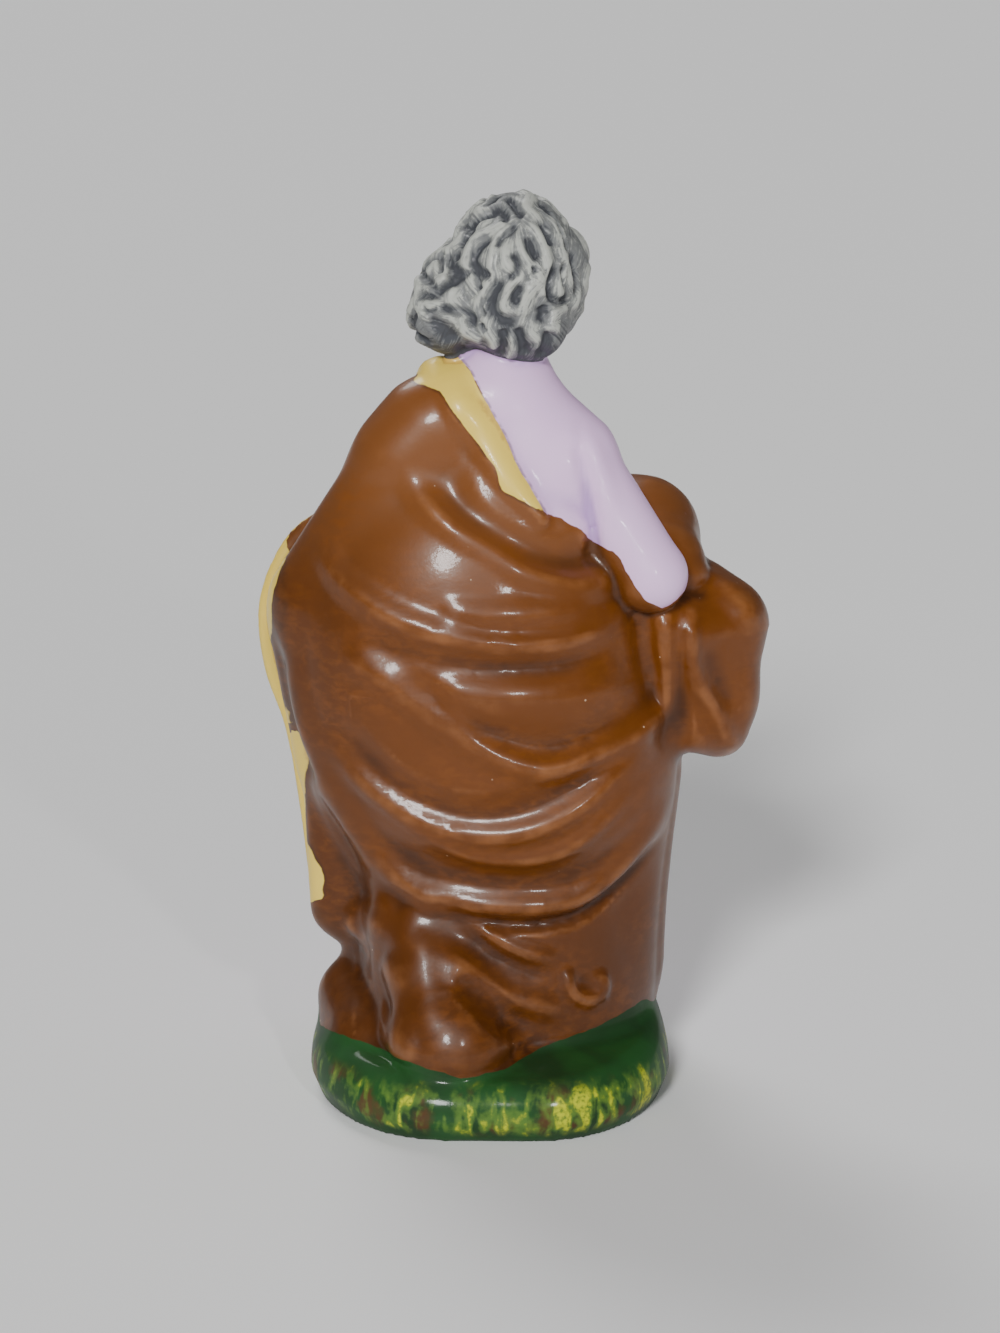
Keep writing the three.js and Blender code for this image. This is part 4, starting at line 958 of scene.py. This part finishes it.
def paintZones(p):
    lines = {name: np.array(line, float) for name, line in paintLines.items()}
    d = {name: form(p) for name, form in parts.items()}
    normal = outward(wholeForm, p)
    back = smoothstep(normal[:, 1], -0.15, 0.2)
    drawn = p[:, [0, 2]]
    seen = asSeen(p)
    x, y, z = p.T
    seenX, seenZ = seen.T

    def least(*names):
        return np.minimum.reduce([d[name] for name in names])

    around = np.degrees(np.arctan2(x, -(y + 3)))
    left = np.interp(z, *lines["leftLimit"].T)
    right = np.interp(z, *lines["rightLimit"].T)
    front = np.hypot(x, y + 3) * np.radians(np.minimum(left - around, around - right))
    tunic = front * (1 - back) + insideOutline(drawn, lines["tunicBack"]) * back
    tunic = np.minimum(tunic, d["bundle"] - 0.4)
    beforeEdge = creamSide["tunicEnd"] - y
    tunic = np.minimum(tunic, np.where(x > 30, beforeEdge, 99) + 99 * back)
    tunic = np.maximum(tunic, np.minimum(least("body", "bundle") - d["leftSleeve"], beforeEdge))

    # cream: the collar, a strip inside the outline that the camera sees, and the turned edge
    cream = insideOutline(drawn, lines["collarBack"]) * back + (0.7 - d["collar"]) * (1 - back)
    levels = np.arange(*creamSide["rows"])
    rows = [np.flatnonzero(np.abs(seenZ - level) < creamSide["rowHalf"]) for level in levels]
    widest = np.array([row[seenX[row].argmax()] for row in rows])
    inside = seenX - np.interp(seenZ, levels, seenX[widest])
    sliver = inside + np.interp(seenZ, *lines["edgeWidth"].T)
    cream = np.maximum(cream, np.minimum(sliver, normal[:, 1] * 6 + 3))
    evened = creamSide["evened"]
    reach = np.pad(y[widest], evened // 2, mode="edge")
    reach = np.convolve(reach, np.ones(evened) / evened, mode="valid")
    away = -8 * (0.965 * normal[:, 1] + 0.26 * normal[:, 2])  # the camera looks down a little
    side = np.minimum(np.interp(seenZ, levels, reach) + 1 - y, np.maximum(sliver + 2.5, away + 2))
    low, high = creamSide["heights"]
    side = np.minimum.reduce([side, -beforeEdge, seenZ - low, high - seenZ, x - creamSide["outside"]])
    cream = np.maximum(cream, side)
    cream = np.maximum(cream, np.minimum(0.8 - d["edge"], sliver + 1 + 3 * (1 - back)))
    shadow = sliver + np.interp(seenZ, *lines["shadowWidth"].T)
    low, high = creamSide["shadowHeights"]
    shadow = np.minimum.reduce([shadow, seenZ - low, high - seenZ, y - creamSide["shadowFront"]])

    behind = smoothstep(y, -2, 8)
    lift = 1 + mound["lift"] * ((x - mound["centre"][0]) / mound["halfWidth"]) ** 2 / mound["height"]
    grassFront = mound["height"] * lift + 0.9 - z
    grassBack = np.interp(seenX, *lines["hem"].T) - seenZ
    onMound = np.minimum(least("body", "raisedLeg", "shoe") - d["mound"], 1.5) * (1 - behind) - 9 * behind
    grass = np.maximum(grassFront * (1 - behind) + grassBack * behind, onMound)

    q = toHead(p)
    onFace = np.where(q[:, 1] < facePaint["deepest"], 0, -3)
    brushed = {}
    for name in ("eye", "iris", "lips"):
        (across, height), radii = facePaint[name]
        brushed[name] = np.maximum(*[
            ellipse(q[:, [0, 2]], (s * across, height), radii) + onFace for s in (1, -1)])
    brows = []
    halfWidth, taper = facePaint["brow"]
    for s in (1, -1):
        route = catmull([(s * across, height) for across, height in faceLines["brow"][3]])
        distance, share = alongRoute(q[:, [0, 2]], route)
        brows.append(halfWidth - taper * share - distance + onFace)
    headHigh = z - fineness["headBase"]
    others = least("body", "collar", "edge")
    return {
        "tunic": tunic,
        "cream": cream,
        "shadow": shadow,
        "grass": grass,
        "girdle": np.minimum(d["body"] - d["girdle"] + 0.1, 0.9 - d["girdle"]),
        "skin": np.maximum(np.minimum(least("locks", "body") - d["face"], headHigh),
                           least("body", "rightArm", "leftSleeve", "bundle") - d["hands"]),
        "hair": np.minimum(np.minimum(others, d["face"] + 0.2) - d["locks"], headHigh),
        "shoe": least("body", "raisedLeg", "mound") - d["shoe"],
        "eye": brushed["eye"],
        "iris": np.minimum(brushed["iris"], brushed["eye"]),
        "brow": np.maximum(*brows),
        "lips": brushed["lips"],
    }


def proudness(mesh, places, normal):  # how far each point stands above its surroundings, near and wide
    close = places
    for _ in range(3):
        close = neighbourMean(mesh, close)
    wide = close
    for _ in range(22):
        wide = neighbourMean(mesh, wide)
    return ((places - close) * normal).sum(1), ((places - wide) * normal).sum(1)


def writeAttribute(mesh, name, values):
    attribute = mesh.attributes.new(name, "FLOAT", "POINT")
    attribute.data.foreach_set("value", np.clip(values, -999, 999).astype(np.float32))


for name, zone in paintZones(settled).items():
    writeAttribute(figurine.data, name, zone)
crest, bulge = proudness(figurine.data, places, meshNormals(figurine.data))
for name, values in {"crest": crest, "bulge": bulge, **hairLines}.items():
    writeAttribute(figurine.data, name, values)
print("paint laid out")


# paint and glaze

def linear(*colour):  # a colour of 0 to 255 as the shader takes it
    return (*[((c / 255 + 0.055) / 1.055) ** 2.4 if c > 10 else c / 255 / 12.92 for c in colour], 1)


# the darker copies of brown, tunic, cream and skin, and the deepest brown, are painted shade; the palest
# brown is worn paint and painted sheen
paint = {
    "brown": (104, 55, 9), "brownShadow": (62, 30, 5), "brownWarm": (124, 68, 16), "brownWearAndSheen": (168, 112, 70),
    "tunic": (240, 200, 245), "tunicShade": (190, 152, 208), "cream": (240, 208, 92),
    "creamShade": (214, 176, 80), "skin": (226, 168, 128), "skinShade": (180, 110, 76),
    "hairLight": (184, 186, 178), "hairMid": (122, 124, 124), "hairDark": (68, 70, 75),
    "green": (26, 76, 28), "greenDark": (20, 54, 20), "dab": (190, 196, 20), "dabPale": (92, 128, 44),
    "rust": (92, 48, 24), "deepShadow": (60, 36, 20), "girdle": (216, 166, 60), "shoe": (44, 28, 20),
    "eye": (216, 208, 198), "iris": (40, 26, 18), "lips": (176, 84, 70), "speck": (226, 200, 170),
}
gloss = {"roughness": 0.4, "uneven": 0.16, "matt": 0.3, "coat": 0.22, "coatRoughness": 0.12, "specular": 0.28,
         "brushRelief": 0.05, "fineRelief": 0.03, "strandRelief": 0.5, "bump": 0.5}
# uneven patches: size in millimetres, detail, stretch, distortion
patches = {
    "wide": (16, 3), "brush": (3.2, 4, (1, 1, 1.8), 0.4), "fine": (0.9, 3), "wobble": (3.5, 2),
    "dry": (6, 3), "speckPatch": (9, 1), "clump": (15, 1.5, (1, 1, 0.5)),
    "stroke": (3.4, 2, (1, 1, 0.32), 0.5), "strokeFine": (1.6, 3), "rust": (7, 3, (1, 1, 0.7)),
    "hairFine": (1.6, 4), "gloss": (5, 3),
}
# ramps: the value at which each begins, and the one at which it is full
ramps = {
    "valleyShade": (0.2, -1.0), "leftSideShade": (20 * mm, 42 * mm), "low": (75 * mm, 30 * mm),
    "topSheen": (108 * mm, 145 * mm), "warm": (0.35, 0.75), "warmPatch": (0.3, 0.7), "crest": (0.05, 0.24),
    "dryPatch": (0.25, 0.75), "speck": (0.045, 0.025), "speckPatch": (0.5, 0.56),
    "tunicValley": (0.3, -1.0), "creamValley": (0.08, -0.06), "creamEdgeShade": (-0.75, -0.25),
    "creamBrush": (0.3, 0.6), "cream": (-0.12, 0.12), "beltFoot": (1.0 * mm, 4 * mm),
    "beltTop": (13.5 * mm, 9.5 * mm), "greenPatch": (0.35, 0.65), "rust": (0.5, 0.64),
    "pale": (0.58, 0.76), "dab": (0.74, 0.88), "dabFine": (0.25, 0.6), "skinHollow": (0.05, -0.12),
    "hairMid": (-0.62, 0.0), "hairLight": (0.0, 0.5),
}
speckSpacing, strandSize = 7, (0.55, 5)  # millimetres; a strand's width and length


def newMaterial(name):
    material = bpy.data.materials.new(name)
    material.use_nodes = True
    return material, material.node_tree.nodes["Principled BSDF"]


def addNode(tree, kind, inputs, **settings):
    made = tree.nodes.new(kind)
    for name, value in settings.items():
        setattr(made, name, value)
    for key, value in inputs.items():
        if isinstance(value, bpy.types.NodeSocket):
            tree.links.new(value, made.inputs[key])
        else:
            made.inputs[key].default_value = value
    return made


class PaintKit:  # short names for the few nodes that the glaze is mixed from
    def __init__(self, tree):
        self.tree = tree
        self.place = addNode(tree, "ShaderNodeTexCoord", {}).outputs["Object"]

    def value(self, name):
        return addNode(self.tree, "ShaderNodeAttribute", {}, attribute_name=name).outputs["Fac"]

    def math(self, operation, a, b, c=0.0):
        return addNode(self.tree, "ShaderNodeMath", {0: a, 1: b, 2: c}, operation=operation).outputs[0]

    def times(self, a, b):
        return self.math("MULTIPLY", a, b)

    def plus(self, a, b):
        return self.math("ADD", a, b)

    def spread(self, a, height, low):  # stretches a value of 0 to 1 to a height, from low up
        return self.math("MULTIPLY_ADD", a, height, low)

    def noise(self, place, detail, distortion=0.0):
        return addNode(self.tree, "ShaderNodeTexNoise", {
            "Vector": place, "Scale": 1.0, "Detail": detail, "Distortion": distortion}).outputs["Fac"]

    def uneven(self, size, detail, stretch=(1, 1, 1), distortion=0.0):
        scale = tuple(s / (size * mm) for s in stretch)
        place = addNode(self.tree, "ShaderNodeMapping", {"Vector": self.place, "Scale": scale}).outputs[0]
        return self.noise(place, detail, distortion)

    def patch(self, name):
        return self.uneven(*patches[name])

    def strand(self, width, length):  # streaks that run along the locks of hair
        place = addNode(self.tree, "ShaderNodeCombineXYZ", {
            0: self.times(self.value("strandAcross"), 1 / width),
            1: self.times(self.value("strandAlong"), 1 / length)}).outputs[0]
        return self.noise(place, 3.0)

    def between(self, value, low, high):
        return addNode(self.tree, "ShaderNodeMapRange", {"Value": value, "From Min": low, "From Max": high},
                       interpolation_type="SMOOTHSTEP").outputs[0]

    def ramp(self, name, value):
        return self.between(value, *ramps[name])

    def zone(self, name, wobble=0.0, soft=0.12):  # 1 inside a paint, with the brush's uneven edge
        return self.between(self.plus(self.value(name), wobble), -soft, soft)

    def over(self, share, below, above, strength=None):  # one paint over another
        if strength is not None:
            share = self.times(share, strength)
        colours = [linear(*paint[c]) if isinstance(c, str) else c for c in (below, above)]
        inputs = {0: share, 6: colours[0], 7: colours[1]}
        return addNode(self.tree, "ShaderNodeMix", inputs, data_type="RGBA").outputs[2]


def brownPaint(kit, wobble, hollow, wide, brush):  # painted shade in its valleys, low down and at the left; lighter at the top (painted sheen) and on the crests (wear and painted highlight)
    # painted shade: the brown darker in the cloak's valleys
    brown = kit.over(kit.ramp("valleyShade", hollow), "brown", "brownShadow")
    # painted shadow: a dark brown band in the recess beside the cream edge
    brown = kit.over(kit.zone("shadow", wobble, 0.8), brown, "deepShadow", 0.6)
    across, _, height = addNode(kit.tree, "ShaderNodeSeparateXYZ", {0: kit.place}).outputs
    # painted shade: the brown darker toward the left side
    brown = kit.over(kit.ramp("leftSideShade", across), brown, "brownShadow", 0.4)
    # painted shade: the brown darker low down, where less light reaches
    brown = kit.over(kit.ramp("low", height), brown, "brownShadow", 0.5)
    # painted sheen: the brown lighter toward the top
    brown = kit.over(kit.ramp("topSheen", height), brown, "brownWearAndSheen", 0.22)
    warm = kit.over(kit.ramp("warm", brush), brown, "brownWarm")
    brown = kit.over(kit.ramp("warmPatch", wide), brown, warm, 0.55)
    # lighter brown on the crests in patches: partly worn paint, partly a painted highlight
    dry = kit.times(kit.ramp("crest", kit.value("crest")), kit.ramp("dryPatch", kit.patch("dry")))
    brown = kit.over(dry, brown, "brownWearAndSheen", 0.4)
    dots = addNode(kit.tree, "ShaderNodeTexVoronoi", {"Vector": kit.place, "Scale": 1 / (speckSpacing * mm)})
    speck = kit.times(kit.ramp("speck", dots.outputs["Distance"]),
                      kit.ramp("speckPatch", kit.patch("speckPatch")))
    return kit.over(speck, brown, "speck", 0.7)


def grassPaint(kit, wide, fine):  # dark green with yellow-green dabs and rusty smudges, in a belt
    stroke = kit.plus(kit.patch("stroke"), kit.times(kit.patch("strokeFine"), 0.3))
    stroke = kit.plus(stroke, kit.spread(kit.patch("clump"), 0.45, -0.22))
    height = addNode(kit.tree, "ShaderNodeSeparateXYZ", {0: kit.place}).outputs[2]
    belt = kit.times(kit.ramp("beltFoot", height), kit.ramp("beltTop", height))
    green = kit.over(kit.ramp("greenPatch", wide), "green", "greenDark")
    green = kit.over(kit.times(kit.ramp("rust", kit.patch("rust")), belt), green, "rust", 0.7)
    green = kit.over(kit.times(kit.ramp("pale", stroke), belt), green, "dabPale", 0.75)
    dab = kit.times(kit.ramp("dab", stroke), belt)
    return kit.over(kit.times(dab, kit.ramp("dabFine", fine)), green, "dab")


def hairPaint(kit, strand):  # light on the locks, dark between them, dragged along the strands
    dry = kit.plus(kit.value("lock"), kit.spread(strand, 1.7, -0.85))
    dry = kit.plus(dry, kit.spread(kit.patch("hairFine"), 0.9, -0.45))
    grey = kit.over(kit.ramp("hairMid", dry), "hairDark", "hairMid")
    return kit.over(kit.ramp("hairLight", dry), grey, "hairLight")


def glazeMaterial():
    material, shader = newMaterial("painted_glaze")
    tree = material.node_tree
    kit = PaintKit(tree)
    wide, brush, fine = kit.patch("wide"), kit.patch("brush"), kit.patch("fine")
    wobble = kit.spread(kit.patch("wobble"), 1.2, -0.6)
    hairWobble = kit.times(wobble, 0.3)
    hollow = kit.plus(kit.value("bulge"), kit.times(wide, 0.4))
    crest = kit.value("crest")
    strand = kit.strand(*strandSize)

    colour = brownPaint(kit, wobble, hollow, wide, brush)
    # painted shade: the lilac darker in the tunic's valleys
    tunic = kit.over(kit.ramp("tunicValley", hollow), "tunic", "tunicShade")
    colour = kit.over(kit.zone("tunic", wobble), colour, tunic)
    # painted shade: the cream darker in its hollows, broken by brush marks
    cream = kit.ramp("creamValley", kit.plus(crest, kit.times(brush, 0.2)))
    cream = kit.over(cream, "cream", "creamShade")
    creamEdge = kit.plus(kit.value("cream"), kit.times(wobble, 0.6))
    # painted shade: a thin dark line along the cream's edges, broken by brush marks
    line = kit.times(kit.ramp("creamEdgeShade", creamEdge), kit.ramp("creamBrush", brush))
    colour = kit.over(line, colour, "deepShadow", 0.55)
    colour = kit.over(kit.ramp("cream", creamEdge), colour, cream)
    colour = kit.over(kit.zone("girdle"), colour, "girdle")
    colour = kit.over(kit.zone("shoe", wobble), colour, "shoe")
    colour = kit.over(kit.zone("grass", kit.times(wobble, 0.8)), colour, grassPaint(kit, wide, fine))
    # painted shade: the skin darker in its hollows
    skin = kit.over(kit.ramp("skinHollow", crest), "skin", "skinShade")
    colour = kit.over(kit.zone("skin"), colour, skin)
    for name, soft in (("lips", 0.2), ("eye", 0.1), ("iris", 0.1)):
        colour = kit.over(kit.zone(name, 0.0, soft), colour, name)
    colour = kit.over(kit.zone("hair", hairWobble), colour, hairPaint(kit, strand))
    colour = kit.over(kit.zone("brow", hairWobble, 0.2), colour, "hairLight")
    tree.links.new(colour, shader.inputs["Base Color"])

    # glaze: uneven, with brush marks that show in the gloss
    uneven = gloss["uneven"]
    rough = kit.spread(kit.patch("gloss"), uneven, gloss["roughness"] - uneven / 2)
    matt = kit.math("MAXIMUM", kit.zone("hair"), kit.zone("grass"))
    rough = kit.math("MULTIPLY_ADD", matt, gloss["matt"], rough)
    tree.links.new(rough, shader.inputs["Roughness"])
    shader.inputs["Specular IOR Level"].default_value = gloss["specular"]
    shader.inputs["Coat Weight"].default_value = gloss["coat"]
    shader.inputs["Coat Roughness"].default_value = gloss["coatRoughness"]
    relief = kit.plus(kit.times(brush, gloss["brushRelief"]), kit.times(fine, gloss["fineRelief"]))
    relief = kit.plus(relief, kit.times(kit.times(strand, kit.zone("hair")), gloss["strandRelief"]))
    bump = addNode(tree, "ShaderNodeBump", {"Height": relief, "Distance": mm, "Strength": gloss["bump"]})
    tree.links.new(bump.outputs[0], shader.inputs["Normal"])
    tree.links.new(bump.outputs[0], shader.inputs["Coat Normal"])
    return material


figurine.data.materials.clear()
figurine.data.materials.append(glazeMaterial())
figurine.data.shade_smooth()
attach(figurine, "root")
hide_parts("kneeling_figurine")
print("painted")


# floor, light and camera

studio = {
    "floor": {"halfWidth": 12, "grey": 0.93, "roughness": 0.9}, "world": 0.12,
    "lights": {  # a light with a size is a panel, one with a softness in degrees is a sun
        "key": {"from": (0.2, 0.85, 0.52), "to": (0, 0, 0), "softness": 11, "power": 2.5},
        "front_fill": {"from": (0.35, -0.8, 0.8), "to": (0, 0, 0), "softness": 25, "power": 1.3},
        "second_key": {"from": (-0.26, 0.8, 0.4), "to": (0, 0, 0.1), "size": (0.035, 0.06), "power": 1.6}},
}


def aim(name, data, place, target):
    spot = bpy.data.objects.new(name, data)
    spot.location = place
    spot.rotation_euler = (Vector(target) - Vector(place)).to_track_quat("-Z", "Y").to_euler()
    bpy.context.scene.collection.objects.link(spot)
    return spot


def addFloor(look):
    bm = bmesh.new()
    bmesh.ops.create_grid(bm, x_segments=1, y_segments=1, size=look["halfWidth"])
    mesh = bpy.data.meshes.new("floor")
    bm.to_mesh(mesh)
    bm.free()
    floor = bpy.data.objects.new("floor", mesh)
    bpy.context.scene.collection.objects.link(floor)
    paper, shader = newMaterial("pale_floor")
    shader.inputs["Base Color"].default_value = (look["grey"],) * 3 + (1,)
    shader.inputs["Roughness"].default_value = look["roughness"]
    mesh.materials.append(paper)
    floor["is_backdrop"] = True


def addLight(name, look):
    lamp = bpy.data.lights.new(name, "AREA" if "size" in look else "SUN")
    lamp.energy = look["power"]
    if "size" in look:
        lamp.shape = "RECTANGLE"
        lamp.size, lamp.size_y = look["size"]
    else:
        lamp.angle = math.radians(look["softness"])
    aim(name, lamp, look["from"], look["to"])


def addWorld(strength):
    world = bpy.data.worlds.new("studio")
    world.use_nodes = True
    background = world.node_tree.nodes["Background"]
    background.inputs["Color"].default_value = (1, 1, 1, 1)
    background.inputs["Strength"].default_value = strength
    bpy.context.scene.world = world


def addCamera():
    camera = bpy.data.cameras.new("camera")
    camera.lens = view["lens"]
    camera.sensor_width = 36
    place, target = (0, view["distance"], view["height"]), (0, 0, view["lookAt"])
    bpy.context.scene.camera = aim("camera", camera, place, target)


addFloor(studio["floor"])
for name, look in studio["lights"].items():
    addLight(name, look)
addWorld(studio["world"])
addCamera()

[[list(map(float, corner)) for corner in box] for box in (cadBox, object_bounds())]
print("scene ready")
